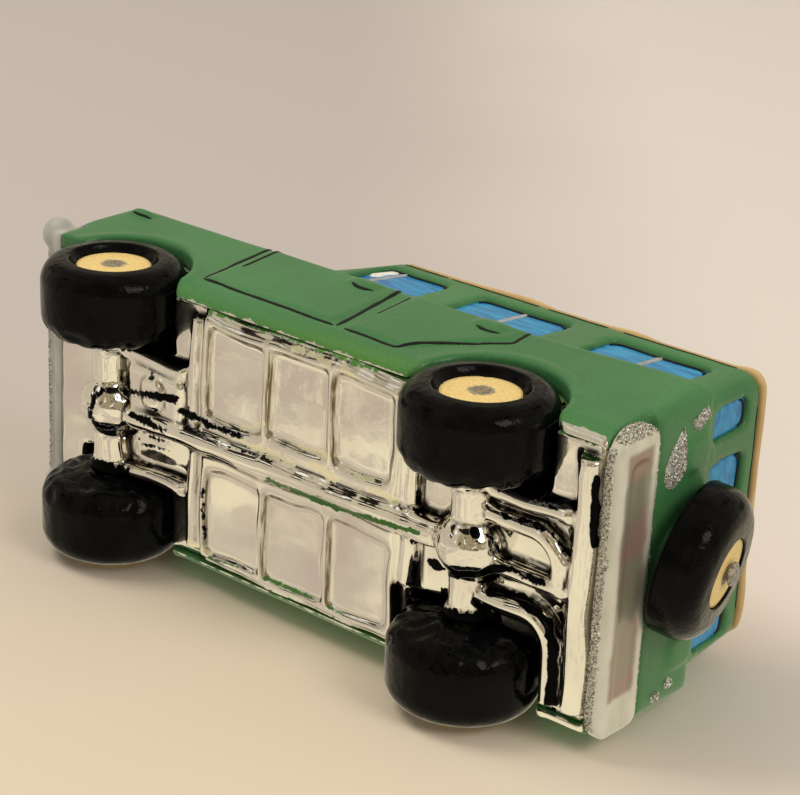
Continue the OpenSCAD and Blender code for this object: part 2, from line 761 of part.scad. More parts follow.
// Outer frame of the underbody between the sills, with a bevelled inner edge
module sill_rails() {
    rail_z = sill_z + 0.3;
    slope = 0.8;
    both_sides() translate([0, (panels_front_y + panels_rear_y) / 2, 0])
        lengthwise(panels_rear_y - panels_front_y) polygon([
            [panels_half, rib_z], [panels_half + slope, rail_z], [base_half - slope / 2, rail_z],
            [base_half, rail_z + slope / 2], [base_half, base_top_z], [panels_half, base_top_z]]);
}

// Curved covers over the wheels, closed towards the middle of the vehicle
module wheel_houses() {
    outer_x = base_half;
    both_sides() for (y = axle_ys) intersection() {
        translate([(well_in_x - well_wall + outer_x) / 2, y, axle_z])
            cross_bar(arch_r + well_wall, outer_x - well_in_x + well_wall);
        translate([0, y - 2 * arch_r, floor_z]) cube([outer_x, 4 * arch_r, 4 * arch_r]);
    }
}

module wheel_wells() {
    both_sides() for (y = axle_ys) translate([well_in_x + body_w / 2, y, axle_z])
        cross_bar(arch_r, body_w);
}

// Cross-members in front of and behind the panelled floor, and the rail inside the rear bumper
module cross_members() {
    rail_l = 2 * (base_half - rail_r);
    between_houses = 2 * (well_in_x - well_wall / 2);
    translate([0, panels_front_y - member_offset, floor_z - overlap]) cross_bar(member_r, 2 * panels_half);
    translate([0, panels_rear_y + member_offset, floor_z - overlap]) cross_bar(member_r, between_houses);
    translate([0, base_rear_y - rail_r, floor_z - overlap]) cross_bar(rail_r, rail_l);
}

// Seats for the axle tubes, the propeller shaft and the arms
module underbody_seats() {
    for (y = axle_ys) translate([0, y, axle_z]) axle_tube_form(fit_gap);
    translate([0, front_axle_y, propshaft_z]) rotate([-90, 0, 0])
        cylinder(r = propshaft_d / 2 + fit_gap, h = wheelbase);
}

// Raises the plate ahead of the front axle to the height of the front bumper's lower edge
module chin_cut() {
    y1 = front_axle_y - diff_d / 2;
    translate([-body_w, body_front_y, sill_z - past])
        cube([2 * body_w, y1 - body_front_y, chin_z - sill_z + past]);
}

module underbody() color(plate_mirror) {
    ribs_half = panels_half + overlap;
    difference() {
        union() {
            translate([0, 0, floor_z]) linear_extrude(base_top_z - floor_z) polygon(rounded_box(
                -base_half, base_front_y, base_half, base_rear_y, max(corner_r - wall, least_r)));
            translate([-ribs_half, panels_front_y, rib_z])
                cube([2 * ribs_half, panels_rear_y - panels_front_y, floor_z - rib_z + overlap]);
            sill_rails();
            wheel_houses();
            cross_members();
        }
        floor_pockets();
        wheel_wells();
        underbody_seats();
        chin_cut();
    }
    for (y = post_ys) translate([0, y, base_top_z - overlap]) cylinder(r = peg_r, h = peg_h + overlap);
}

module propeller_shaft() color(plate_mirror) {
    gap = diff_d / 2 + fit_gap;
    translate([0, front_axle_y + gap, propshaft_z]) rotate([-90, 0, 0])
        cylinder(d = propshaft_d, h = wheelbase - 2 * gap);
}

// An axle tube with its differential bulge and end flanges, grown by gap, turned about the axle
module axle_tube_form(gap) rotate([0, 90, 0]) rotate_extrude() intersection() {
    union() {
        translate([0, -tube_end_x - gap]) square([axle_tube_d / 2 + gap, 2 * (tube_end_x + gap)]);
        for (v = [-1, 1]) translate([0, v * (tube_end_x - flange_t / 2) - flange_t / 2 - gap])
            square([flange_r + gap, flange_t + 2 * gap]);
        circle(diff_d / 2 + gap);
    }
    translate([0, -body_w]) square([body_w, 2 * body_w]);
}

// An axle tube bored for its axle pin
module axle_tube(y) color(plate_mirror) translate([0, y, axle_z]) difference() {
    axle_tube_form(0);
    cross_bar(axle_r + fit_gap / 2, 2 * tube_end_x + past);
}

// Arms from the front axle tube back to the first cross-member
module front_radius_arms() color(plate_mirror) both_sides()
    bar_between([arm_x, front_axle_y + flange_r + fit_gap, arm_z], [arm_x, arm_front_y, arm_z], arm_d / 2);

// A round bar that runs back from the rear axle tube, bends to the right and ends at x = end_x
module bent_bar(x, end_x, r, z) {
    y0 = rear_axle_y + axle_tube_d / 2 + fit_gap;
    y1 = arm_rear_y - r;
    bar_between([x, y0, z], [x, y1 - bend_r, z], r);
    translate([x - bend_r, y1 - bend_r, z]) rotate_extrude(angle = 90) translate([bend_r, 0]) circle(r);
    bar_between([end_x, y1, z], [x - bend_r, y1, z], r);
}

// Two straight arms and a bent one, between the rear axle tube and the rear rail
module rear_trailing_arms() color(plate_mirror) {
    inner_x = -arm_d / 2;
    bent_x = arm_x - arm_d - arm_gap;
    arm_y = rear_axle_y + flange_r + fit_gap;
    inner_y = rear_axle_y + diff_d / 2 + fit_gap;
    bar_between([arm_x, arm_y, arm_z], [arm_x, arm_rear_y, arm_z], arm_d / 2);
    bar_between([inner_x, inner_y, arm_z], [inner_x, arm_rear_y, arm_z], arm_d / 2);
    bent_bar(bent_x, inner_x + arm_d / 2 + fit_gap, arm_d / 2, arm_z);
}

// Pipe that leaves the rear axle, turns to the right and ends at the corner
module exhaust_pipe() color(plate_mirror) {
    r = exhaust_d / 2;
    bent_bar(-diff_d / 2 - r, -base_half + exhaust_inset, r, floor_z - r - fit_gap);
}

// Gear housing beside the propeller shaft, with a round cover below
module transfer_case() color(plate_mirror) {
    x0 = propshaft_d / 2 + fit_gap;
    x1 = arm_x - arm_d / 2 - 2 * fit_gap;
    y0 = front_axle_y + diff_d / 2 + fit_gap;
    z0 = floor_z - fit_gap - case_h;
    cover_r = min(x1 - x0, arm_front_y - y0) / 2 - case_r;
    translate([0, 0, z0]) linear_extrude(case_h) polygon(rounded_box(x0, y0, x1, arm_front_y, case_r));
    translate([(x0 + x1) / 2, (y0 + arm_front_y) / 2, z0 - case_cover_t])
        cylinder(r = cover_r, h = case_cover_t + overlap);
}

// Bumpers and lamps

// A round bar with ball ends, on a plate that closes the body's front below the grille
module front_bumper() color(frost_silver) {
    ball_r = front_ball_d / 2;
    ball_x = half_w + front_bumper_proud - ball_r;
    back_y = body_front_y + wall;
    intersection() {
        union() {
            translate([0, front_bumper_y + ball_r, chin_z + ball_r]) {
                cross_bar(front_bar_d / 2, 2 * ball_x);
                both_sides() translate([ball_x, 0, 0]) sphere(ball_r);
            }
            intersection() {
                lower_body();
                translate([-body_w, body_front_y, chin_z]) cube([2 * body_w, wall, front_ball_d]);
            }
        }
        translate([-body_w, back_y - 2 * past, 0]) cube([2 * body_w, 2 * past, gutter_z]);
    }
}

// A rounded bar across the rear whose face has a shallow channel
module rear_bumper() color(frost_silver) {
    half = half_w + rear_bumper_proud;
    y0 = base_rear_y + fit_gap;
    z0 = rear_bumper_z;
    z1 = rear_bumper_top_z;
    end_r = 0.8 * (rear_bumper_y - y0); // rounding of the ends, seen from above
    end_round = 0.45 * rear_bumper_h;   // rounding of the ends, seen from behind
    channel_z = z0 + (rear_bumper_h - channel_h) / 2;
    difference() {
        intersection() {
            across(body_w) polygon(rounded([[y0, z0, 0], [rear_bumper_y, z0, bumper_r],
                [rear_bumper_y, z1, bumper_r], [y0, z1, 0]]));
            linear_extrude(z1) polygon(rounded([[-half, y0, 0], [half, y0, 0],
                [half, rear_bumper_y, end_r], [-half, rear_bumper_y, end_r]]));
            translate([0, rear_bumper_y, 0]) lengthwise(2 * past)
                polygon(rounded_box(-half, z0, half, z1, end_round));
        }
        translate([0, rear_bumper_y - bumper_channel + past / 2, 0]) lengthwise(past) polygon(rounded_box(
            -half + channel_inset, channel_z, half - channel_inset, channel_z + channel_h, channel_h / 3));
    }
}

// A round lamp seated on the front face
module front_disc(x, z, d, t) translate([x, body_front_y, z]) rotate([90, 0, 0]) cylinder(d = d, h = t);

module headlamps() color(frost_silver) both_sides() {
    dish_d = headlamp_d - 2 * headlamp_rim;
    dish_t = 0.4 * trim_t;
    difference() {
        front_disc(headlamp_x, lamp_z, headlamp_d, trim_t);
        translate([0, dish_t - trim_t, 0]) front_disc(headlamp_x, lamp_z, dish_d, trim_t);
    }
}

module front_indicators() color(frost_silver) both_sides()
    front_disc(indicator_x, lamp_z + indicator_rise, indicator_d, trim_t);

// A flat frame with upright slots between its slats
module grille() color(frost_silver) {
    z0 = front_bumper_top_z + trim_gap;
    h = waist_z - edge_r - trim_gap - z0;
    slot_pitch = h / (grille_slats + 1);
    translate([0, body_front_y - trim_t / 2, 0]) lengthwise(trim_t) difference() {
        polygon(rounded_box(-grille_half, z0, grille_half, z0 + h, grille_frame));
        for (i = [0 : grille_slats]) polygon(rounded_box(
            -grille_half + grille_frame, z0 + slot_pitch * (i + 0.25),
            grille_half - grille_frame, z0 + slot_pitch * (i + 0.75), slot_pitch / 5));
    }
}

module left_tail_lamps() color(frost_silver) translate([0, body_rear_y + trim_t / 2, 0]) lengthwise(trim_t) {
    end_r = 0.45 * tail_lamp_h;
    polygon(rounded_box(tail_lamp_x - tail_lamp_l / 2, lamp_z - tail_lamp_h / 2,
        tail_lamp_x + tail_lamp_l / 2, lamp_z + tail_lamp_h / 2, end_r));
    translate([marker_x, marker_z]) circle(d = marker_d);
}

module right_tail_lamps() mirror([1, 0, 0]) left_tail_lamps();

// The outer half of a round-ended bar that lies along the body side
module side_bump(y, l) difference() {
    r = handle_h / 2;
    translate([handle_x, y, handle_z]) rotate([90, 0, 0]) rotate_extrude() intersection() {
        union() {
            translate([0, r - l / 2]) square([r, l - 2 * r]);
            for (v = [-1, 1]) translate([0, v * (l / 2 - r)]) circle(r);
        }
        translate([0, -l]) square([r, 2 * l]);
    }
    body_prism(0);
}

module door_handles() color(paint_green) both_sides() for (y = handle_ys) side_bump(y, handle_l);

module wing_repeaters() color(paint_green) both_sides() side_bump(repeater_y, repeater_l);

// Wheels

// Half section of a tyre: radius against width, with round shoulders (inner, outer) and a flared mouth
module tyre_section(r, w, shoulders, disc_r, recess, mouth) {
    bore_r = disc_r + fit_gap / 2;
    low = shoulders[0];
    high = shoulders[1];
    difference() {
        union() {
            translate([disc_r, 0]) square([r - low - disc_r, low + slab]);
            translate([disc_r, low]) square([r - disc_r, w - low - high]);
            translate([disc_r, w - high - slab]) square([r - high - disc_r, high + slab]);
            translate([r - low, low]) circle(low);
            translate([r - high, w - high]) intersection() {
                circle(high);
                square(high);
            }
        }
        square([bore_r, w]);
        polygon([[0, w - recess], [bore_r, w - recess], [disc_r + mouth, w + slab], [0, w + slab]]);
    }
}

// Tyre and hub stand with their inner face at x = 0 and their outer face towards +X
module tyre(d, w, shoulders, disc_r, recess, mouth) color(paint_black)
    rotate([0, 90, 0]) rotate_extrude() tyre_section(d / 2, w, shoulders, disc_r, recess, mouth);

module road_tyre() tyre(tyre_d, tyre_w, [tyre_shoulder, tyre_shoulder], hub_r, hub_recess, hub_mouth);

module hub(w, disc_r, recess) color(paint_gold) rotate([0, 90, 0]) difference() {
    translate([0, 0, hub_back]) cylinder(r = disc_r, h = w - recess - hub_back);
    translate([0, 0, -past]) cylinder(r = axle_r + run_gap, h = w + 2 * past);
}

module road_hub() hub(tyre_w, hub_r, hub_recess);

module at_wheel(y, side) translate([side * tyre_in_x, y, axle_z]) mirror([side < 0 ? 1 : 0, 0, 0]) children();

// A pin through both wheels of an axle, with a domed head outside each hub
module axle_pin(y) color(frost_silver) translate([0, y, axle_z]) {
    cross_bar(axle_r, 2 * (hub_face_x + end_play));
    both_sides() translate([hub_face_x + end_play, 0, 0]) rotate([0, 90, 0]) domed_head();
}

module domed_head() intersection() {
    cylinder(d = axle_head_d, h = axle_head_t);
    translate([0, 0, axle_head_t - axle_head_d]) sphere(r = axle_head_d);
}

// Spare wheel: its axis runs along the vehicle and its face looks to the rear and a little up
module at_spare() translate([0, body_rear_y + carrier_t, spare_z])
    rotate([spare_tilt, 0, 0]) rotate([0, 0, 90]) children();

// A wedge-shaped round pad on the rear face, with a stud that holds the spare wheel
module spare_carrier() color(frost_silver) {
    stud_l = spare_w - spare_recess + fit_gap;
    hull() {
        translate([0, body_rear_y + slab, spare_z]) rotate([90, 0, 0]) cylinder(d = carrier_d, h = slab);
        at_spare() rotate([0, 90, 0]) translate([0, 0, -slab]) cylinder(d = carrier_d, h = slab);
    }
    at_spare() rotate([0, 90, 0]) {
        translate([0, 0, -overlap]) cylinder(r = axle_r, h = stud_l + overlap);
        translate([0, 0, stud_l]) domed_head();
    }
}

module spare_tyre() at_spare()
    tyre(spare_d, spare_w, [spare_inner_shoulder, spare_shoulder], spare_hub_r, spare_recess, spare_mouth);

module spare_hub() at_spare() hub(spare_w, spare_hub_r, spare_recess);

body_shell();
roof_panel();
windscreen();
side_window(0);  // left_front_window
side_window(1);  // left_rear_window
side_window(2);  // left_quarter_window
mirror([1, 0, 0]) side_window(0);  // right_front_window
mirror([1, 0, 0]) side_window(1);  // right_rear_window
mirror([1, 0, 0]) side_window(2);  // right_quarter_window
tailgate_window();
rear_corner_windows();
window_bars();
underbody();
propeller_shaft();
axle_tube(front_axle_y);  // front_axle_tube
axle_tube(rear_axle_y);  // rear_axle_tube
front_radius_arms();
rear_trailing_arms();
exhaust_pipe();
transfer_case();
front_bumper();
rear_bumper();
grille();
headlamps();
front_indicators();
left_tail_lamps();
right_tail_lamps();
door_handles();
wing_repeaters();
spare_carrier();
spare_tyre();
spare_hub();
axle_pin(front_axle_y);  // front_axle_pin
axle_pin(rear_axle_y);  // rear_axle_pin
at_wheel(front_axle_y, 1) road_tyre();  // front_left_tyre
at_wheel(front_axle_y, 1) road_hub();  // front_left_hub
at_wheel(front_axle_y, -1) road_tyre();  // front_right_tyre
at_wheel(front_axle_y, -1) road_hub();  // front_right_hub
at_wheel(rear_axle_y, 1) road_tyre();  // rear_left_tyre
at_wheel(rear_axle_y, 1) road_hub();  // rear_left_hub
at_wheel(rear_axle_y, -1) road_tyre();  // rear_right_tyre
at_wheel(rear_axle_y, -1) road_hub();  // rear_right_hub
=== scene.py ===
import math

import bmesh
import bpy
from mathutils import Matrix, Vector, noise
from mathutils.bvhtree import BVHTree


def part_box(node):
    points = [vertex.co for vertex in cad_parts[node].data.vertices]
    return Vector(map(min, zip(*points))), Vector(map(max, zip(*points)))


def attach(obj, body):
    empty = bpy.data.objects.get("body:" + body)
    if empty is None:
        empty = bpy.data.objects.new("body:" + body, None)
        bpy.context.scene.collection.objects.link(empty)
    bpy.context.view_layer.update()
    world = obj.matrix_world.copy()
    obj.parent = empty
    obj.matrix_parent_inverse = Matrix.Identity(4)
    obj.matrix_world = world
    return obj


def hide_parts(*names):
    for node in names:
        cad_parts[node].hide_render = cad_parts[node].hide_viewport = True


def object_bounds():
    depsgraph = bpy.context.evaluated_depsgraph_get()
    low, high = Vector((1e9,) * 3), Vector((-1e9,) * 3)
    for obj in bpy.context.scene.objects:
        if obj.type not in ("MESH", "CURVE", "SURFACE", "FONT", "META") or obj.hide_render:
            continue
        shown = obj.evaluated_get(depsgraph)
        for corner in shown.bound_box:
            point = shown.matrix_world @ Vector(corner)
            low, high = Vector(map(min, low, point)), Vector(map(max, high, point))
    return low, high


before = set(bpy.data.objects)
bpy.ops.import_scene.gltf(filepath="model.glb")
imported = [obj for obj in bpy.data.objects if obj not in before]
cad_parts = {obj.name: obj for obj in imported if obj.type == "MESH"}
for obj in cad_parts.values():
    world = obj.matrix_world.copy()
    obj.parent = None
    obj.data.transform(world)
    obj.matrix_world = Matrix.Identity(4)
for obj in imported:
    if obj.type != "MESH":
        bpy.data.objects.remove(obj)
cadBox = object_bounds()
mm = 0.001
print("frame loaded:", len(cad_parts), "nodes")


# Places on the car, in millimetres: +X is its left, +Y its rear, +Z up

def corners(node):
    low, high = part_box(node)
    return low / mm, high / mm


def middle(node):
    low, high = corners(node)
    return (low + high) / 2


bodyLow, bodyHigh = corners("body_shell")
glassFlange = 1.0  # how far a pane's hidden flange reaches past the glass that shows
frontGlassLow, frontGlassHigh = corners("left_front_window")
places = dict(
    shoulderX=bodyHigh.x + 0.1,                  # body side at the ledge below the windows
    lean=1.25,                                   # how far the side leans in down to the sill
    frontY=bodyLow.y,
    rearY=bodyHigh.y - 0.5,                      # rear face, under the hinge pads
    sillZ=bodyLow.z - 0.1,
    waistZ=frontGlassLow.z + glassFlange - 1.8,  # ledge below the windows
    gutterZ=corners("roof_panel")[0].z,
    frontAxleY=middle("front_left_tyre").y,
    rearAxleY=middle("rear_left_tyre").y,
    axleZ=middle("front_axle_pin").z,
    splitY=frontGlassHigh.y - glassFlange + 2.5,  # edge between the two doors
)


def flankX(z):  # the leaning side's distance from the middle at a height
    share = (z - places["sillZ"]) / (places["waistZ"] - places["sillZ"])
    return places["shoulderX"] - places["lean"] * (1 - share)


# Small tools for meshes

def link(name, mesh, material):
    mesh.materials.clear()
    mesh.materials.append(material)
    for face in mesh.polygons:
        face.use_smooth = True
    piece = bpy.data.objects.new(name, mesh)
    bpy.context.scene.collection.objects.link(piece)
    return piece


def build(name, points, faces, material):
    mesh = bpy.data.meshes.new(name)
    mesh.from_pydata([Vector(p) * mm for p in points], [], faces)
    shape = bmesh.new()
    shape.from_mesh(mesh)
    bmesh.ops.recalc_face_normals(shape, faces=shape.faces)
    shape.to_mesh(mesh)
    shape.free()
    return link(name, mesh, material)


def settle(piece, smooth=True):  # turns the live modifiers into plain mesh
    graph = bpy.context.evaluated_depsgraph_get()
    done = bpy.data.meshes.new_from_object(piece.evaluated_get(graph))
    piece.modifiers.clear()
    piece.data = done
    for face in done.polygons:
        face.use_smooth = smooth
    return piece


def dress(piece, body, slot, *nodes):
    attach(piece, body)
    if nodes:
        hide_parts(*nodes)
    return piece


def addBlock(shape, low, high, lean=0.0):  # a block whose top is shifted by lean along X
    size = [b - a for a, b in zip(low, high)]
    place = [(a + b) / 2 for a, b in zip(low, high)]
    place[0] += lean / 2
    shear = Matrix.Identity(4)
    shear[0][2] = lean / size[2]
    turn = Matrix.Translation(Vector(place) * mm) @ shear @ Matrix.Diagonal(Vector(size) * mm).to_4x4()
    bmesh.ops.create_cube(shape, size=1, matrix=turn)


# Melts solids, and blocks that fill what lies inside, into one soft skin
def fuse(name, material, nodes, blocks, voxel, rounds):
    whole = bmesh.new()
    for node in nodes:
        whole.from_mesh(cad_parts[node].data)
    bmesh.ops.remove_doubles(whole, verts=whole.verts, dist=1e-7)
    for block in blocks:
        addBlock(whole, *block)
    mesh = bpy.data.meshes.new(name)
    whole.to_mesh(mesh)
    whole.free()
    piece = link(name, mesh, material)
    melt = piece.modifiers.new("melt", "REMESH")
    melt.mode = "VOXEL"
    melt.voxel_size = voxel * mm
    soften = piece.modifiers.new("soften", "SMOOTH")
    soften.factor = 0.5
    soften.iterations = rounds
    return settle(piece)


# Moves each point of a piece along its normal by a rule that reads the point in millimetres
def swell(piece, rule):
    normals = [v.normal.copy() for v in piece.data.vertices]
    for vertex, normal in zip(piece.data.vertices, normals):
        vertex.co += normal * (rule(vertex.co / mm, normal) * mm)
    piece.data.update()


def smoothStep(low, high, value):
    share = min(max((value - low) / (high - low), 0), 1)
    return share * share * (3 - 2 * share)


def skinTree(data):  # for laying things on a skin by rays
    points = [v.co / mm for v in data.vertices]
    return BVHTree.FromPolygons(points, [tuple(p.vertices) for p in data.polygons])


def roundBox(x0, y0, x1, y1, radius, steps=6):
    points = []
    for cx, cy, start in ((x1 - radius, y0 + radius, -90), (x1 - radius, y1 - radius, 0),
                          (x0 + radius, y1 - radius, 90), (x0 + radius, y0 + radius, 180)):
        for i in range(steps + 1):
            angle = math.radians(start + 90 * i / steps)
            points.append((cx + radius * math.cos(angle), cy + radius * math.sin(angle)))
    return points


# A closed, domed patch: an outline in the plane (u, v), seated by toSpace(u, v, height)
cushionSet = dict(rings=7, lip=0.12, packing=1.2, crown=0.02, roundness=3)


def cushion(name, material, outline, toSpace, dome, depth, grow=0.0):
    c = cushionSet
    rings = c["rings"]
    cu = sum(p[0] for p in outline) / len(outline)
    cv = sum(p[1] for p in outline) / len(outline)
    count = len(outline)
    points = []
    faces = []

    def ring(share, height, out):
        for u, v in outline:
            du, dv = u - cu, v - cv
            reach = share + out / math.hypot(du, dv)
            points.append(toSpace(cu + du * reach, cv + dv * reach, height))

    ring(1, -depth, grow)
    ring(1, -c["lip"], grow)
    for i in range(rings):
        share = 1 - (i / rings) ** c["packing"]
        ring(max(share, c["crown"]), dome * (1 - share ** c["roundness"]), grow * share)
    for r in range(rings + 1):
        for i in range(count):
            j = (i + 1) % count
            faces.append((r * count + i, r * count + j, (r + 1) * count + j, (r + 1) * count + i))
    faces.append(tuple(range(count)))
    faces.append(tuple((rings + 1) * count + i for i in range(count)))
    return build(name, points, faces, material)


# A body of revolution: closed profile of (radius, way along the axis), from an origin along an axis
latheSet = dict(lumpsPerMm=0.35, seedShift=7.3, calmRadius=4)  # the wobble fades inside the calm radius


def lathe(name, material, profile, origin, axis, segments, wobble=0.0, seed=0):
    side = axis.orthogonal().normalized()
    other = axis.cross(side)
    points = []
    faces = []
    count = len(profile)
    for s in range(segments):
        angle = 2 * math.pi * s / segments
        out = side * math.cos(angle) + other * math.sin(angle)
        for radius, way in profile:
            spot = Vector((math.cos(angle) * radius, math.sin(angle) * radius, way)) * latheSet["lumpsPerMm"]
            shift = Vector((seed * latheSet["seedShift"], seed, 0))
            shrink = wobble * (0.5 + 0.5 * noise.noise(spot + shift))
            calm = min(1, radius / latheSet["calmRadius"])
            points.append(origin + axis * way + out * max(radius - shrink * calm, 0.0))
    for s in range(segments):
        t = (s + 1) % segments
        for i in range(count):
            j = (i + 1) % count
            faces.append((s * count + i, s * count + j, t * count + j, t * count + i))
    piece = build(name, points, faces, material)
    shape = bmesh.new()
    shape.from_mesh(piece.data)
    bmesh.ops.remove_doubles(shape, verts=shape.verts, dist=1e-6)
    bmesh.ops.recalc_face_normals(shape, faces=shape.faces)
    shape.to_mesh(piece.data)
    shape.free()
    return piece


# Material tools

def tone(red, green, blue):  # an 8-bit colour as linear light
    def channel(value):
        share = value / 255
        return share / 12.92 if share <= 0.04045 else ((share + 0.055) / 1.055) ** 2.4
    return (channel(red), channel(green), channel(blue), 1)


def newMaterial(name):
    material = bpy.data.materials.new(name)
    material.use_nodes = True
    tree = material.node_tree
    return material, tree, tree.nodes["Principled BSDF"]


def addNode(tree, kind, values=None, **settings):
    node = tree.nodes.new(kind)
    for key, value in settings.items():
        setattr(node, key, value)
    for socket, value in (values or {}).items():
        if isinstance(value, bpy.types.NodeSocket):
            tree.links.new(value, node.inputs[socket])
        else:
            node.inputs[socket].default_value = value
    return node


def objectPoint(tree):  # the point on the piece, in millimetres
    coords = addNode(tree, "ShaderNodeTexCoord").outputs["Object"]
    return addNode(tree, "ShaderNodeVectorMath", {0: coords, "Scale": 1 / mm}, operation="SCALE").outputs[0]


def grain(tree, size, detail, stretch=(1, 1, 1), shift=(0, 0, 0)):  # noise, its lump size in millimetres
    place = addNode(tree, "ShaderNodeMapping",
                    {"Vector": objectPoint(tree), "Scale": stretch, "Location": shift})
    return addNode(tree, "ShaderNodeTexNoise", {
        "Vector": place.outputs[0], "Scale": 1 / size, "Detail": detail, "Roughness": 0.55}).outputs[0]


def along(tree, direction):  # how far the point lies along a direction, in millimetres
    return addNode(tree, "ShaderNodeVectorMath", {0: objectPoint(tree), 1: direction},
                   operation="DOT_PRODUCT").outputs["Value"]


def sums(tree, kind, first, second):
    return addNode(tree, "ShaderNodeMath", {0: first, 1: second}, operation=kind).outputs[0]


def ramp(tree, field, low, high, start=0.0, end=1.0):
    return addNode(tree, "ShaderNodeMapRange", {
        "Value": field, "From Min": low, "From Max": high, "To Min": start, "To Max": end},
        interpolation_type="SMOOTHSTEP").outputs[0]


def blendTones(tree, share, first, second):
    node = addNode(tree, "ShaderNodeMix", {0: share, 6: first, 7: second}, data_type="RGBA")
    return node.outputs[2]


def twoTones(tree, field, low, high, first, second):  # from one 8-bit colour to another, by a field
    return blendTones(tree, ramp(tree, field, low, high), tone(*first), tone(*second))


def sway(tree, cloud, reach):  # how far a noise swings to either side of its middle
    return sums(tree, "MULTIPLY", sums(tree, "SUBTRACT", cloud, 0.5), reach)


def bumps(tree, shader, field, height, strength):
    node = addNode(tree, "ShaderNodeBump", {"Height": field, "Distance": height * mm, "Strength": strength})
    tree.links.new(node.outputs[0], shader.inputs["Normal"])


def feed(tree, socket, shader, name):
    tree.links.new(socket, shader.inputs[name])


def field(tree, name):  # a value that the mesh carries at each point
    return addNode(tree, "ShaderNodeAttribute", attribute_name=name).outputs["Fac"]


# Finishes, each with its 8-bit colours beside it

# Green lacquer, warmer towards the sill, where it ends raggedly on bare silver
greenSet = dict(body=((60, 116, 66), (74, 130, 76)), sill=(92, 140, 58), speck=(118, 152, 104),
                bare=(238, 234, 226), sillTop=15.0, sillFoot=10.5, sillWander=5.0, rag=1.6)


def greenLacquer():
    g = greenSet
    material, tree, shader = newMaterial("greenLacquer")
    height = along(tree, (0, 0, 1))
    cloud = grain(tree, 14, 3)
    body = twoTones(tree, cloud, 0.3, 0.7, *g["body"])
    sill = sums(tree, "ADD", height, sums(tree, "MULTIPLY", cloud, g["sillWander"]))
    warm = blendTones(tree, ramp(tree, sill, g["sillTop"], g["sillFoot"]), body, tone(*g["sill"]))
    speck = grain(tree, 0.5, 2)
    paint = blendTones(tree, ramp(tree, speck, 0.35, 0.7, 0, 0.12), warm, tone(*g["speck"]))
    rag = sway(tree, grain(tree, 1.6, 4), g["rag"])
    bare = ramp(tree, sums(tree, "ADD", field(tree, "bare"), rag), 1.0, 1.12)
    feed(tree, blendTones(tree, bare, paint, tone(*g["bare"])), shader, "Base Color")
    feed(tree, bare, shader, "Metallic")
    dull = ramp(tree, cloud, 0.3, 0.7, 0.32, 0.46)
    feed(tree, sums(tree, "SUBTRACT", dull, sums(tree, "MULTIPLY", bare, 0.22)), shader, "Roughness")
    shader.inputs["Specular IOR Level"].default_value = 0.22
    shader.inputs["Coat Weight"].default_value = 0.12
    shader.inputs["Coat Roughness"].default_value = 0.06
    bumps(tree, shader, grain(tree, 2.4, 3), 0.05, 0.6)
    return material


# Silvering, rougher on the rib slopes, with painted shade: brown on the rib slopes and near black in the
# hollows.
# Black and green paint runs raggedly over its edges, and dark strokes and slits, green lines and pale flecks
# lie on it
mirrorSet = dict(clear=((232, 227, 222), (244, 242, 234)), ribSlopeShade=(112, 97, 72), hollowShade=(30, 25, 20),
                 leaf=(86, 128, 60), fleck=(255, 251, 222), soot=(7, 7, 7), rag=2.4, torn=0.7,
                 dullPaint=0.16, dullCrease=0.2, dullGlint=0.3)


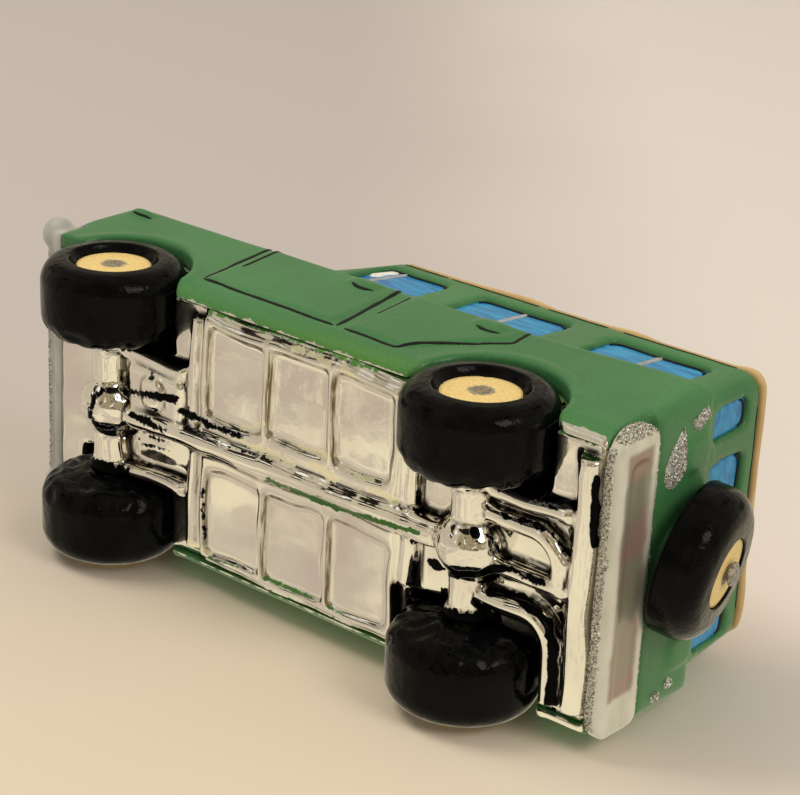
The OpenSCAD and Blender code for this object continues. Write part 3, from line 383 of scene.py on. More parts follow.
def mirrorSilver():
    m = mirrorSet
    material, tree, shader = newMaterial("mirrorSilver")

    def covered(name, wander, edge):  # 1 under the paint that a value of the mesh tells of
        return ramp(tree, sums(tree, "ADD", field(tree, name), wander), 0.0, edge)

    clear = twoTones(tree, grain(tree, 9, 3), 0.3, 0.7, *m["clear"])
    # painted shade on the rib slopes: brown, streaked along the ribs; the same weight also roughens them
    ribSlopeShade = field(tree, "ribSlopeShade")
    streak = ramp(tree, grain(tree, 0.4, 3, (0.1, 0.1, 1.6)), 0.36, 0.58, 0.3, 1.0)
    dull = blendTones(tree, sums(tree, "MULTIPLY", ribSlopeShade, streak), clear, tone(*m["ribSlopeShade"]))
    # painted shade in the hollows: near black, broken up by noise
    dark = sums(tree, "MULTIPLY", field(tree, "hollowShade"), ramp(tree, grain(tree, 2.6, 3), 0.28, 0.46))
    sunk = blendTones(tree, dark, dull, tone(*m["hollowShade"]))
    rag = sway(tree, grain(tree, 1.3, 4), m["rag"])
    torn = sway(tree, grain(tree, 0.7, 3), m["torn"])
    frayed = sums(tree, "MULTIPLY", torn, 2.0)
    clean = sums(tree, "MULTIPLY", torn, 0.5)
    # green: real paint over the sill's edge, and lines that are painted reflections of the green body
    leaf = sums(tree, "MAXIMUM", covered("greenReach", rag, 0.25), covered("greenReflectionReach", torn, 0.14))
    # pale flecks: painted glints on the silvering
    fleck = covered("glintReach", frayed, 0.2)
    # dark strokes and slits: black paint, with painted dark reflections and painted shadows
    darkStrokes = sums(tree, "MAXIMUM", covered("markReach", frayed, 0.2), covered("slitReach", clean, 0.14))
    # the black: real paint in the wheel houses and at the tubes' ends, and the painted dark strokes
    soot = sums(tree, "MAXIMUM", darkStrokes, covered("blackReach", rag, 0.15))
    painted = blendTones(tree, leaf, sunk, tone(*m["leaf"]))
    painted = blendTones(tree, fleck, painted, tone(*m["fleck"]))
    feed(tree, blendTones(tree, soot, painted, tone(*m["soot"])), shader, "Base Color")
    paint = sums(tree, "MAXIMUM", leaf, soot)
    feed(tree, ramp(tree, paint, 0, 1, 1.0, 0.0), shader, "Metallic")
    gloss = ramp(tree, grain(tree, 3.5, 4), 0.45, 0.8, 0.02, 0.12)
    soft = 0.0
    for share, dulled in ((paint, m["dullPaint"]), (ribSlopeShade, m["dullCrease"]), (fleck, m["dullGlint"])):
        soft = sums(tree, "MAXIMUM", soft, sums(tree, "MULTIPLY", share, dulled))
    feed(tree, sums(tree, "ADD", gloss, soft), shader, "Roughness")
    shader.inputs["Specular IOR Level"].default_value = 0.03
    bumps(tree, shader, grain(tree, 2.2, 2), 0.05, 0.45)
    return material


blueSet = dict(body=((14, 116, 172), (56, 164, 206)), deep=(12, 78, 150))


def blueBrush():
    material, tree, shader = newMaterial("blueBrush")
    streak = grain(tree, 1.1, 4, (0.5, 0.22, 1.0))
    wide = grain(tree, 4.0, 2, (1, 0.6, 1.0), (3, 1, 0))
    body = twoTones(tree, streak, 0.3, 0.72, *blueSet["body"])
    deep = blendTones(tree, ramp(tree, wide, 0.58, 0.75, 0, 0.7), body, tone(*blueSet["deep"]))
    feed(tree, deep, shader, "Base Color")
    feed(tree, ramp(tree, streak, 0.3, 0.72, 0.26, 0.4), shader, "Roughness")
    shader.inputs["Specular IOR Level"].default_value = 0.2
    shader.inputs["Coat Weight"].default_value = 0.12
    shader.inputs["Coat Roughness"].default_value = 0.05
    bumps(tree, shader, streak, 0.05, 0.7)
    return material


creamTones = ((204, 166, 104), (222, 188, 128))


def creamLacquer():
    material, tree, shader = newMaterial("creamLacquer")
    cloud = grain(tree, 7, 4, (1, 0.5, 1))
    feed(tree, twoTones(tree, cloud, 0.3, 0.7, *creamTones), shader, "Base Color")
    feed(tree, ramp(tree, cloud, 0.3, 0.7, 0.36, 0.5), shader, "Roughness")
    shader.inputs["Specular IOR Level"].default_value = 0.25
    shader.inputs["Coat Weight"].default_value = 0.12
    shader.inputs["Coat Roughness"].default_value = 0.08
    bumps(tree, shader, grain(tree, 1.6, 3), 0.06, 0.6)
    return material


blackTones = ((5, 5, 6), (11, 11, 11))


def blackLacquer():
    material, tree, shader = newMaterial("blackLacquer")
    cloud = grain(tree, 3, 3)
    feed(tree, twoTones(tree, cloud, 0.35, 0.7, *blackTones), shader, "Base Color")
    feed(tree, ramp(tree, cloud, 0.3, 0.75, 0.08, 0.2), shader, "Roughness")
    shader.inputs["Specular IOR Level"].default_value = 0.08
    bumps(tree, shader, grain(tree, 1.6, 4), 0.16, 0.9)
    return material


inkTones = ((9, 10, 9), (26, 30, 24))


def blackInk():
    material, tree, shader = newMaterial("blackInk")
    cloud = grain(tree, 0.7, 3)
    feed(tree, twoTones(tree, cloud, 0.3, 0.75, *inkTones), shader, "Base Color")
    feed(tree, ramp(tree, cloud, 0.3, 0.75, 0.42, 0.6), shader, "Roughness")
    shader.inputs["Specular IOR Level"].default_value = 0.25
    return material


# Gold lacquer, worn to grey in the middle and overrun by black at the rim
goldTones = ((240, 202, 122), (255, 226, 150))
wornTones = ((104, 96, 84), (186, 176, 152))
goldRim = (10, 9, 9)


def goldLacquer():
    material, tree, shader = newMaterial("goldLacquer")
    fleck = grain(tree, 0.22, 2)
    body = twoTones(tree, fleck, 0.35, 0.65, *goldTones)
    rim = field(tree, "rim")
    wander = grain(tree, 1.3, 3)
    worn = ramp(tree, sums(tree, "ADD", rim, sums(tree, "MULTIPLY", grain(tree, 0.5, 3), 0.3)), 0.54, 0.42)
    grey = twoTones(tree, fleck, 0.4, 0.6, *wornTones)
    centre = blendTones(tree, worn, body, grey)
    paint = ramp(tree, sums(tree, "ADD", rim, sums(tree, "MULTIPLY", wander, 0.3)), 1.15, 1.18)
    feed(tree, blendTones(tree, paint, centre, tone(*goldRim)), shader, "Base Color")
    feed(tree, ramp(tree, paint, 0, 1, 0.05, 0.0), shader, "Metallic")
    feed(tree, ramp(tree, paint, 0, 1, 0.5, 0.2), shader, "Roughness")
    shader.inputs["Specular IOR Level"].default_value = 0.25
    bumps(tree, shader, fleck, 0.03, 0.6)
    return material


# Frosted silver, with a darker strip where the silvering shows through the paint; its dark tones are a
# painted reflection of the surroundings
def frostedSilver(name, tones, strip):
    material, tree, shader = newMaterial(name)
    point = addNode(tree, "ShaderNodeVectorMath", {0: objectPoint(tree), 1: strip["centre"]},
                    operation="SUBTRACT")
    size = addNode(tree, "ShaderNodeVectorMath", {0: point.outputs[0]}, operation="ABSOLUTE")
    axes = addNode(tree, "ShaderNodeSeparateXYZ", {0: size.outputs[0]})
    wander = sums(tree, "MULTIPLY", grain(tree, 2.6, 3), strip["soft"])

    def within(axis, half):  # 1 inside the strip's length or width
        away = sums(tree, "ADD", axes.outputs[axis], wander)
        return ramp(tree, away, half + strip["soft"], half - strip["edge"])

    length, height = strip["half"]
    inside = sums(tree, "MULTIPLY", within(2, height), within(0, length))
    share = sums(tree, "MULTIPLY", inside, strip["share"])
    cloud = grain(tree, 4, 4, (0.4, 1, 1))
    body = twoTones(tree, cloud, 0.3, 0.7, *tones)
    # painted reflection: the strip's dark tones
    dark = twoTones(tree, grain(tree, 6, 2, (1, 1, 0.4), (4, 0, 0)), 0.42, 0.58, *strip["tones"])
    feed(tree, blendTones(tree, share, body, dark), shader, "Base Color")
    shader.inputs["Metallic"].default_value = 0.2
    feed(tree, ramp(tree, cloud, 0.3, 0.7, 0.26, 0.42), shader, "Roughness")
    shader.inputs["Coat Weight"].default_value = 0.25
    shader.inputs["Coat Roughness"].default_value = 0.12
    bumps(tree, shader, grain(tree, 0.35, 2), 0.03, 0.5)
    return material


glitterTones = ((128, 126, 118), (232, 230, 222))


def glitterSilver():
    material, tree, shader = newMaterial("glitterSilver")
    fleck = grain(tree, 0.3, 1)
    feed(tree, twoTones(tree, fleck, 0.35, 0.65, *glitterTones), shader, "Base Color")
    shader.inputs["Metallic"].default_value = 0.85
    feed(tree, ramp(tree, fleck, 0.35, 0.65, 0.18, 0.36), shader, "Roughness")
    return material


def silverLine(name, tones, metallic):
    material, tree, shader = newMaterial(name)
    cloud = grain(tree, 0.8, 3)
    feed(tree, twoTones(tree, cloud, 0.3, 0.7, *tones), shader, "Base Color")
    shader.inputs["Metallic"].default_value = metallic
    feed(tree, ramp(tree, cloud, 0.3, 0.7, 0.32, 0.45), shader, "Roughness")
    return material


steelTones = ((112, 102, 84), (196, 180, 146))


def wornSteel():
    material, tree, shader = newMaterial("wornSteel")
    pit = grain(tree, 0.35, 3)
    feed(tree, twoTones(tree, pit, 0.35, 0.65, *steelTones), shader, "Base Color")
    feed(tree, ramp(tree, pit, 0.35, 0.65, 0.3, 0.7), shader, "Metallic")
    feed(tree, ramp(tree, pit, 0.3, 0.7, 0.34, 0.55), shader, "Roughness")
    bumps(tree, shader, pit, 0.06, 0.8)
    return material


# Green bracket, and a bare stud in the middle of the spare wheel
carrierSet = dict(green=(66, 122, 70), bareFrom=3.0, bareTo=3.4)  # bare behind the body, in millimetres


def carrierPaint():
    c = carrierSet
    material, tree, shader = newMaterial("carrierPaint")
    bare = ramp(tree, along(tree, (0, 1, 0)), bodyHigh.y + c["bareFrom"], bodyHigh.y + c["bareTo"])
    pit = ramp(tree, grain(tree, 0.35, 3), 0.35, 0.65)
    metal = blendTones(tree, pit, *(tone(*worn) for worn in wornTones))
    feed(tree, blendTones(tree, bare, tone(*c["green"]), metal), shader, "Base Color")
    feed(tree, ramp(tree, pit, 0, 1, 0.36, 0.5), shader, "Roughness")
    bumps(tree, shader, pit, 0.04, 0.6)
    return material


green = greenLacquer()
mirror = mirrorSilver()
blue = blueBrush()
cream = creamLacquer()
black = blackLacquer()
ink = blackInk()
gold = goldLacquer()
glitter = glitterSilver()
silver = silverLine("silverLine", ((164, 166, 172), (206, 204, 202)), metallic=0.4)
# pale white that paints the bright reflection of bare silvering: a painted highlight
pale = silverLine("paleBlotch", ((238, 230, 212), (255, 250, 238)), metallic=0.0)
steel = wornSteel()
carrier = carrierPaint()
print("finishes made")


# Camera: the photograph's own place, with the car on its right side and its underside in view
cameraSet = dict(eye=(118.5, 180.6, -193.1), ahead=(-0.3663, -0.5894, 0.7200), up=(0.9292, -0.2718, 0.2503),
                 lens=105.6, sensor=36, clipStart=0.01, picture=(800, 795))


def addCamera():
    ahead = Vector(cameraSet["ahead"]).normalized()
    right = ahead.cross(Vector(cameraSet["up"])).normalized()
    up = right.cross(ahead)
    data = bpy.data.cameras.new("camera")
    data.lens = cameraSet["lens"]
    data.clip_start = cameraSet["clipStart"]
    camera = bpy.data.objects.new("camera", data)
    bpy.context.scene.collection.objects.link(camera)
    turn = Matrix((right, up, -ahead)).transposed().to_4x4()
    camera.matrix_world = Matrix.Translation(Vector(cameraSet["eye"]) * mm) @ turn
    bpy.context.scene.camera = camera
    return right, up, -ahead


viewRight, viewUp, viewBack = addCamera()
eye = Vector(cameraSet["eye"])
print("camera placed")


def toPicture(point):  # where a point falls in the picture, in pixels from its upper left
    away = point - eye
    wide, high = cameraSet["picture"]
    reach = -wide * cameraSet["lens"] / cameraSet["sensor"] / away.dot(viewBack)
    return Vector((wide / 2 + reach * away.dot(viewRight), high / 2 - reach * away.dot(viewUp)))


def mmPerPixel(distance):
    return distance * cameraSet["sensor"] / cameraSet["lens"] / cameraSet["picture"][0]


# Body: one soft lacquered skin, with raised doors
bodySet = dict(
    voxel=0.45, rounds=7, ripple=0.07, rippleSize=9,
    doorRise=0.3, doorEdge=1.1, sideFacing=0.7, sideDepth=1,
    proudFrom=0.2, handleSink=0.5, repeaterSink=0.1, wingY=-40,
    waistRise=1.8, riseFromY=16, riseLow=(22, 27), riseHigh=(34, 29.6),  # heights where the rise fades
    bareFrom=0.2, bareTurn=0.9, bareFacing=0.3, bareRear=0.9, bareRearY=(7, 13),  # behind the rear axle
)
doorSet = dict(
    bottomZ=places["sillZ"] + 4.1, topZ=places["waistZ"] - 0.8,
    frontY=places["frontAxleY"] + 12.2, splitY=places["splitY"], post=1.7,
    rearY=places["rearAxleY"] - 6.3, kickY=places["rearAxleY"] - 15.3, kickZ=places["waistZ"] - 5.1,
)


# Blocks that fill the shell: its hull, the cabin in two steps, the rear face, and the grooves of the doors.
# A step of the cabin is told by its distances behind the screen and under the gutter
fillerSet = dict(
    wall=0.9, hullZ=22, hullTop=0.8,
    cabinWall=1.4, cabinRear=1.6, cabinFoot=2, cabinSteps=((6.6, 0.5), (2.6, 9)),
    plateX=12, plateZ=18.6, plateTop=1.6,
    grooveTop=1.4, grooveSkin=0.03, thickness=1,
    doorZ=3.9, doorFront=11.3, doorRear=11.2, archZ=21.2, archFront=11.4, archRear=5.6,
)


def fillers():
    f = fillerSet
    front, rear, sill = places["frontY"], places["rearY"], places["sillZ"]
    waist, gutter = places["waistZ"], places["gutterZ"]
    frontAxle, rearAxle = places["frontAxleY"], places["rearAxleY"]
    hullX = flankX(sill) - f["wall"]
    cabinX = corners("left_rear_window")[1].x - f["cabinWall"]
    screenY = corners("windscreen")[0].y
    cabinRearY = corners("tailgate_window")[1].y - f["cabinRear"]
    blocks = [((-hullX, front + f["wall"], f["hullZ"]), (hullX, rear - f["wall"], waist - f["hullTop"]))]
    for behind, under in f["cabinSteps"]:
        low = (-cabinX, screenY + behind, waist - f["cabinFoot"])
        blocks.append((low, (cabinX, cabinRearY, gutter - under)))
    low = (-f["plateX"], rear - f["thickness"], f["plateZ"])
    blocks.append((low, (f["plateX"], rear, waist - f["plateTop"])))
    high = waist - f["grooveTop"]
    for low, start, end in ((sill + f["doorZ"], frontAxle + f["doorFront"], rearAxle - f["doorRear"]),
                            (f["archZ"], rearAxle - f["archFront"], rearAxle - f["archRear"])):
        foot = flankX(low) - f["grooveSkin"]
        lean = flankX(high) - flankX(low)
        blocks.append(((foot - f["thickness"], start, low), (foot, end, high), lean))
        blocks.append(((-foot, start, low), (-foot + f["thickness"], end, high), -lean))
    return blocks


def doorDistance(y, z):  # how deep a point lies inside the nearer door's outline
    d = doorSet
    frontDoor = min(y - d["frontY"], d["splitY"] - y, z - d["bottomZ"], d["topZ"] - z)
    rise = (d["kickZ"] - d["bottomZ"]) / (d["rearY"] - d["kickY"])
    slope = (z - d["bottomZ"] - (y - d["kickY"]) * rise) / math.hypot(1, rise)
    rearDoor = min(y - d["splitY"] - d["post"], d["rearY"] - y, z - d["bottomZ"], d["topZ"] - z, slope)
    return max(frontDoor, rearDoor)


def makeBody():
    b = bodySet
    nodes = ("body_shell", "door_handles", "wing_repeaters")
    skin = fuse("bodySkin", green, nodes, fillers(), b["voxel"], b["rounds"])

    def rule(point, normal):
        lift = b["ripple"] * noise.noise(point / b["rippleSize"])
        if abs(normal.x) > b["sideFacing"] and abs(point.x) > flankX(point.z) - b["sideDepth"]:
            lift += b["doorRise"] * smoothStep(0, b["doorEdge"], doorDistance(point.y, point.z))
        proud = max(abs(point.x) - flankX(point.z) - b["proudFrom"], 0)
        return lift - proud * (b["handleSink"] if point.y > b["wingY"] else b["repeaterSink"])

    for vertex in skin.data.vertices:  # the ledge below the windows climbs towards the rear
        point = vertex.co / mm
        band = smoothStep(*b["riseLow"], point.z) * smoothStep(*b["riseHigh"], point.z)
        vertex.co.z += b["waistRise"] * band * smoothStep(b["riseFromY"], places["rearY"], point.y) * mm
    skin.data.update()
    swell(skin, rule)
    bare = skin.data.attributes.new("bare", "FLOAT", "POINT").data
    rearStart, rearEnd = (places["rearAxleY"] + behind for behind in b["bareRearY"])
    for vertex, value in zip(skin.data.vertices, bare):  # 1 at the end of the paint, more below it
        under = max(0.0, -vertex.normal.z - b["bareFacing"]) * b["bareTurn"]
        rear = b["bareRear"] * smoothStep(rearStart, rearEnd, vertex.co.y / mm)
        value.value = 1 + places["sillZ"] + b["bareFrom"] + under + rear - vertex.co.z / mm
    return dress(skin, "car", "green_lacquer", *nodes)


bodySkin = makeBody()
bodyTree = skinTree(bodySkin.data)
print("body skin:", len(bodySkin.data.polygons), "faces")


# Underside: floor, axles, arms, shaft, exhaust and gear housing under one mirror skin
undersideSet = dict(
    voxel=0.36, rounds=4, ease=5, waver=0.55, waverSize=7, seed=1795711383,  # fixes the waver's draw
    wave=0.14, waveSize=5.5, ripple=0.06, rippleSize=2.4, calm=0.3, calmFacing=(0.985, 0.9),
    pinch=0.45, pinchReach=3.0, pinchFrom=0.35,
    # where the painted shade lies: how sunken a point must be, and how steep and lengthwise a rib slope must
    # be
    hollowFrom=0.006, hollowTo=0.024, creaseFacing=(0.97, 0.78), creaseAcross=0.25, creaseAlong=0.75,
)
floorSet = dict(frontY=places["frontAxleY"] + 17.3, rearY=places["rearAxleY"] - 11.3, margin=1, rows=3,
                topZ=9.9, edgeX=corners("underbody")[1].x)
paintSet = dict(archRadius=10.2, archX=9.2, frontTrim=1.8, frontTrimY=6, leftTubeX=8.6, rightTubeX=7.7,
                tubeRadius=5.0, sillReach=0.4, shaftX=2.1, unpainted=-5.0)
undersideNodes = ("underbody", "propeller_shaft", "front_axle_tube", "rear_axle_tube",
                  "front_radius_arms", "rear_trailing_arms", "exhaust_pipe", "transfer_case")


def onFloor(point):
    f = floorSet
    return f["frontY"] - f["margin"] < point.y < f["rearY"] + f["margin"] and point.z < f["topZ"]


def pinched(y):  # draws the ribs between the floor panels together
    s = undersideSet
    pitch = (floorSet["rearY"] - floorSet["frontY"]) / floorSet["rows"]
    for row in range(1, floorSet["rows"]):
        rib = floorSet["frontY"] + row * pitch
        away = abs(y - rib) / s["pinchReach"]
        if away < 1:
            return rib + (y - rib) * (s["pinch"] + (1 - s["pinch"]) * smoothStep(s["pinchFrom"], 1, away))
    return y


# How far a point lies inside the black of the wheel houses and the tubes' ends
def blackReach(point):
    p = paintSet
    axleY = places["frontAxleY"] if point.y < 0 else places["rearAxleY"]
    away = math.hypot(point.y - axleY, point.z - places["axleZ"])
    if abs(point.x) > p["archX"] and away > p["tubeRadius"]:
        trim = p["frontTrim"] if point.y < places["frontAxleY"] - p["frontTrimY"] else 0.0
        return p["archRadius"] - trim - away
    tube = p["leftTubeX"] if point.x > 0 else p["rightTubeX"]
    return abs(point.x) - tube if away < p["tubeRadius"] else p["unpainted"]


# Torn dark strokes, clean dark slits, green lines and pale flecks on the silvering: width in millimetres,
# and the places in the picture that they pass. The strokes are black paint and painted dark reflections,
# the slits painted dark reflections and shadows, the green lines painted reflections of the green body,
# and the flecks painted glints
markSet = dict(
    frontBall=(0.85, ((103, 390), (94, 398), (90, 408), (91, 416), (97, 424), (106, 428), (118, 429))),
    frontBallTop=(0.7, ((108, 403), (118, 396), (128, 393))),
    frontTop=(1.2, ((123, 390), (138, 394), (156, 396), (173, 399))),
    frontGap=(1.0, ((131, 415), (143, 420), (156, 426), (163, 431))),
    frontArm=(0.6, ((139, 431), (153, 437), (166, 442), (174, 442))),
    frontPlate=(0.4, ((136, 437), (144, 445), (156, 447), (168, 451))),
    shaftTop=(1.0, ((183, 412), (197, 418), (209, 425), (226, 430), (240, 436))),
    shaftLine=(0.34, ((176, 422), (192, 428), (206, 436), (222, 445), (239, 450), (261, 456))),
    rearBallSide=(0.6, ((483, 530), (492, 539), (499, 552))),
    rearRoot=(0.8, ((502, 568), (516, 571), (530, 578), (542, 583))),
    leftArm=(0.75, ((504, 516), (520, 520), (537, 525), (551, 533), (561, 544), (569, 554))),
    leftRail=(0.5, ((526, 501), (540, 504), (557, 508))),
    floorEdge=(0.6, ((203, 488), (203, 506), (204, 522), (205, 538))),
)
# slits: painted dark reflections in the rail, and painted shadow in the gaps beside the arms
slitSet = dict(
    rearSlit=(1.1, ((597, 479), (596, 496), (595, 514), (594, 532), (594, 545))),
    rearHole=(1.4, ((474, 532), (475, 535))),
    rearBall=(1.2, ((430, 561), (444, 568), (459, 575), (475, 575), (489, 571), (502, 568))),
    rightArm=(1.4, ((489, 590), (504, 592), (521, 599), (537, 611), (549, 628), (554, 645), (553, 669),
                    (552, 687), (551, 711))),
)
# green lines: painted reflections of the green body in the silvering
greenReflectionSet = dict(
    shaft=(0.7, ((268, 480), (300, 493), (331, 506), (356, 514), (381, 522), (421, 534))),
    firstPanel=(0.45, ((208, 557), (222, 562), (238, 567))),
    midPanel=(0.6, ((265, 578), (282, 585), (298, 592), (312, 598))),
    lastPanel=(0.5, ((328, 607), (342, 613))),
)
# pale flecks: painted glints
glintSet = dict(
    shaftFront=(1.0, ((236, 438), (246, 443), (258, 448), (274, 456), (291, 464))),
    shaftMid=(1.2, ((313, 463), (322, 469), (336, 479))),
    shaftRear=(1.0, ((371, 488), (383, 494), (396, 501))),
    firstEdge=(0.9, ((243, 428), (251, 428), (260, 425))),
    midEdge=(0.8, ((301, 447), (313, 451), (326, 456))),
    lastEdge=(0.8, ((347, 471), (359, 476), (374, 481))),
    corner=(1.2, ((295, 349), (301, 350))),
    midCorner=(1.0, ((310, 355), (320, 358), (328, 363))),
    lastCorner=(1.2, ((344, 367), (352, 376))),
    sillFront=(1.0, ((190, 543), (199, 548), (208, 552))),
)
brushSet = dict(half=0.5, uneven=0.35, unevenSize=1.8, nearPixels=40, near=-0.6, behind=0.8)


def strokeReach(point, strokes, tree):  # how far a point that the camera sees lies inside a stroke
    b = brushSet
    spot = toPicture(point)
    way = point - eye
    best = paintSet["unpainted"]
    for width, path in strokes.values():
        for first, last in zip(path, path[1:]):
            start, run = Vector(first), Vector(last) - Vector(first)
            if abs(spot.x - start.x) > b["nearPixels"] or abs(spot.y - start.y) > b["nearPixels"]:
                continue
            share = min(max((spot - start).dot(run) / run.length_squared, 0), 1)
            half = width * (b["half"] + b["uneven"] * noise.noise(point / b["unevenSize"]))
            best = max(best, half - (spot - start - run * share).length * mmPerPixel(way.length))
    hit = tree.ray_cast(eye, way.normalized())[0] if best > b["near"] else None
    return paintSet["unpainted"] if hit and (hit - point).length > b["behind"] else best


def hollows(data):  # how deep each point lies under its neighbours, as a share
    shape = bmesh.new()
    shape.from_mesh(data)
    shape.normal_update()
    found = []
    for vertex in shape.verts:
        around = [edge.other_vert(vertex).co - vertex.co for edge in vertex.link_edges]
        sink = sum(way.dot(vertex.normal) for way in around) / len(around) / mm
        found.append(smoothStep(undersideSet["hollowFrom"], undersideSet["hollowTo"], sink))
    shape.free()
    return found


def makeUnderside():
    s = undersideSet
    skin = fuse("mirrorUnderside", mirror, undersideNodes, (), s["voxel"], s["rounds"])

    noise.seed_set(s["seed"])
    for vertex in skin.data.vertices:  # ribs draw together, then ribs and edges waver sideways
        point = vertex.co / mm
        if onFloor(point):
            vertex.co.y = pinched(point.y) * mm
        drift = noise.noise_vector(point / s["waverSize"]) * s["waver"]
        vertex.co += Vector((drift.x, drift.y, 0)) * mm
    soften = skin.modifiers.new("soften", "SMOOTH")
    soften.iterations = s["ease"]
    settle(skin)

    def rule(point, normal):  # flat panels stay calm, ribs and corners ripple
        calm = s["calm"] + (1 - s["calm"]) * smoothStep(*s["calmFacing"], abs(normal.z))
        wave = s["wave"] * noise.noise(point / s["waveSize"])
        return calm * (wave + s["ripple"] * noise.noise(point / s["rippleSize"] + Vector((9, 4, 1))))

    swell(skin, rule)
    # how sunken each point is; the mirror paints shade there
    sunken = hollows(skin.data)
    tree = skinTree(skin.data)
    names = ("ribSlopeShade", "hollowShade", "blackReach", "greenReach",
             "markReach", "slitReach", "greenReflectionReach", "glintReach")
    for name in names:
        skin.data.attributes.new(name, "FLOAT", "POINT")
    fields = [skin.data.attributes[name].data for name in names]
    for number, vertex in enumerate(skin.data.vertices):
        point = vertex.co / mm
        # rib slopes get painted brown shade; hollows off the ribs get painted dark shade
        ribs = onFloor(point) and abs(point.x) > paintSet["shaftX"]
        turn = vertex.normal
        lengthwise = abs(turn.y) / max(math.hypot(turn.x, turn.y), 0.01)
        steep = smoothStep(*s["creaseFacing"], abs(turn.z))
        ribSlopeShade = steep * (s["creaseAcross"] + s["creaseAlong"] * lengthwise) if ribs else 0.0
        values = (ribSlopeShade, 0.0 if ribs else sunken[number], blackReach(point),
                  abs(point.x) - floorSet["edgeX"] + paintSet["sillReach"],
                  *(strokeReach(point, strokes, tree) for strokes in (markSet, slitSet, greenReflectionSet, glintSet)))
        for data, value in zip(fields, values):
            data[number].value = value
    return dress(skin, "car", "mirror_silver", *undersideNodes)


makeUnderside()
print("underside made")


# Roof
roofSet = dict(voxel=0.45, rounds=6, ripple=0.12, rippleSize=6, rippleSink=0.8, edge=0.6, edgeSize=8,
               edgeFacing=0.8, edgeSlice=3, drawnIn=0.45, drawnFrom=2, drawnTo=8)  # ahead of the rear


def makeRoof():
    r = roofSet
    skin = fuse("roofSkin", cream, ("roof_panel",), (), r["voxel"], r["rounds"])
    drawnFrom, drawnTo = places["rearY"] - r["drawnFrom"], places["rearY"] - r["drawnTo"]

    def rule(point, normal):  # the painted edge wavers in and out, the top stays calm
        lift = r["ripple"] * (noise.noise(point / r["rippleSize"]) - r["rippleSink"])
        if abs(normal.z) < r["edgeFacing"]:
            drawn = r["drawnIn"] * smoothStep(drawnFrom, drawnTo, point.y)
            waver = noise.noise(Vector((point.x, point.y, r["edgeSlice"])) / r["edgeSize"])
            lift += r["edge"] * waver - drawn
        return lift

    swell(skin, rule)
    return dress(skin, "car", "cream_lacquer", "roof_panel")


makeRoof()
print("roof made")


# Windows: brushed blue panes, a little domed
paneSet = dict(dome=0.18, depth=0.9, grow=0.22, corner=1.2, slant=0.6, cornerEdge=-0.1,
               probeZ=2.5, probeX=2, outside=200)  # where rays from outside find the panes' faces
paneTop = dict(front_window=0.4, rear_window=-0.3, quarter_window=-0.5)  # past the opening's upper edge
sidePanes = ("front_window", "rear_window", "quarter_window")


def paneHeights(node, axis, sign, low, high):  # the pane's face as a line over its height
    tree = skinTree(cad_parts[node].data)
    found = []
    for z in (low.z + paneSet["probeZ"], high.z - paneSet["probeZ"]):
        start = (low + high) / 2
        start.z = z
        if node == "rear_corner_windows":
            start.x = high.x - paneSet["probeX"]
        start[axis] = sign * paneSet["outside"]
        away = Vector((0, 0, 0))
        away[axis] = -sign
        found.append((z, tree.ray_cast(start, away)[0][axis]))
    (z0, a), (z1, b) = found
    return lambda z: a + (b - a) * (z - z0) / (z1 - z0)


def paneOutline(low, high, slant=0.0):
    outline = roundBox(low[0], low[1], high[0], high[1], paneSet["corner"])
    height = high[1] - low[1]
    reach = high[0] - low[0]
    return [(u + slant * (v - low[1]) / height * (high[0] - u) / reach, v) for u, v in outline]


def sidePane(side, sign, name):
    node = side + "_" + name
    low, high = corners(node)
    face = paneHeights(node, 0, sign, low, high)
    slant = paneSet["slant"] if name == "front_window" else 0.0
    top = high.z - glassFlange + paneTop[name]
    outline = paneOutline((low.y + glassFlange, low.z + glassFlange), (high.y - glassFlange, top), slant)

    def toSpace(u, v, height):
        return Vector((face(v) + sign * height, u, v))

    label = side + "".join(word.capitalize() for word in name.split("_"))
    piece = cushion(label, blue, outline, toSpace, paneSet["dome"], paneSet["depth"], paneSet["grow"])
    dress(piece, "car", "blue_lacquer", node)
    return dict(outline=outline, toSpace=toSpace, normal=Vector((sign, 0, 0)), name=name, side=side)


def endPane(label, node, sign, x0, x1):
    low, high = corners(node)
    edge = glassFlange if node != "rear_corner_windows" else paneSet["cornerEdge"]
    face = paneHeights(node, 1, sign, low, high)
    outline = paneOutline((x0, low.z + edge), (x1, high.z - edge))

    def toSpace(u, v, height):
        return Vector((u, face(v) + sign * height, v))

    piece = cushion(label, blue, outline, toSpace, paneSet["dome"], paneSet["depth"], paneSet["grow"])
    dress(piece, "car", "blue_lacquer", node)
    return dict(outline=outline, toSpace=toSpace, normal=Vector((0, sign, 0)), name=label, side="")


def makePanes():
    made = [sidePane(side, sign, name) for side, sign in (("left", 1), ("right", -1)) for name in sidePanes]
    for label, node, sign in (("windscreenPane", "windscreen", -1), ("tailgatePane", "tailgate_window", 1)):
        low, high = corners(node)
        made.append(endPane(label, node, sign, low.x + glassFlange, high.x - glassFlange))
    across = [v.co.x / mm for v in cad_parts["rear_corner_windows"].data.vertices]
    inner = min(x for x in across if x > 0)
    outer = max(across)
    made.append(endPane("leftCornerPane", "rear_corner_windows", 1, inner, outer))
    made.append(endPane("rightCornerPane", "rear_corner_windows", 1, -outer, -inner))
    return made


panes = makePanes()
print("panes made:", len(panes))


# Painted lines: thin raised strokes of uneven width, laid on the skin
strokeSet = dict(step=0.3, rise=0.09, sink=0.12, tip=0.35, tipStep=0.25,
                 uneven=0.3, unevenStep=0.16, unevenSeed=3.7, wander=0.1, wanderStep=0.07, wanderSeed=2.1,
                 outside=90,  # rays start that far from the middle
                 section=((-0.5, -1), (-0.42, 0.6), (-0.2, 1), (0.2, 1), (0.42, 0.6), (0.5, -1)))


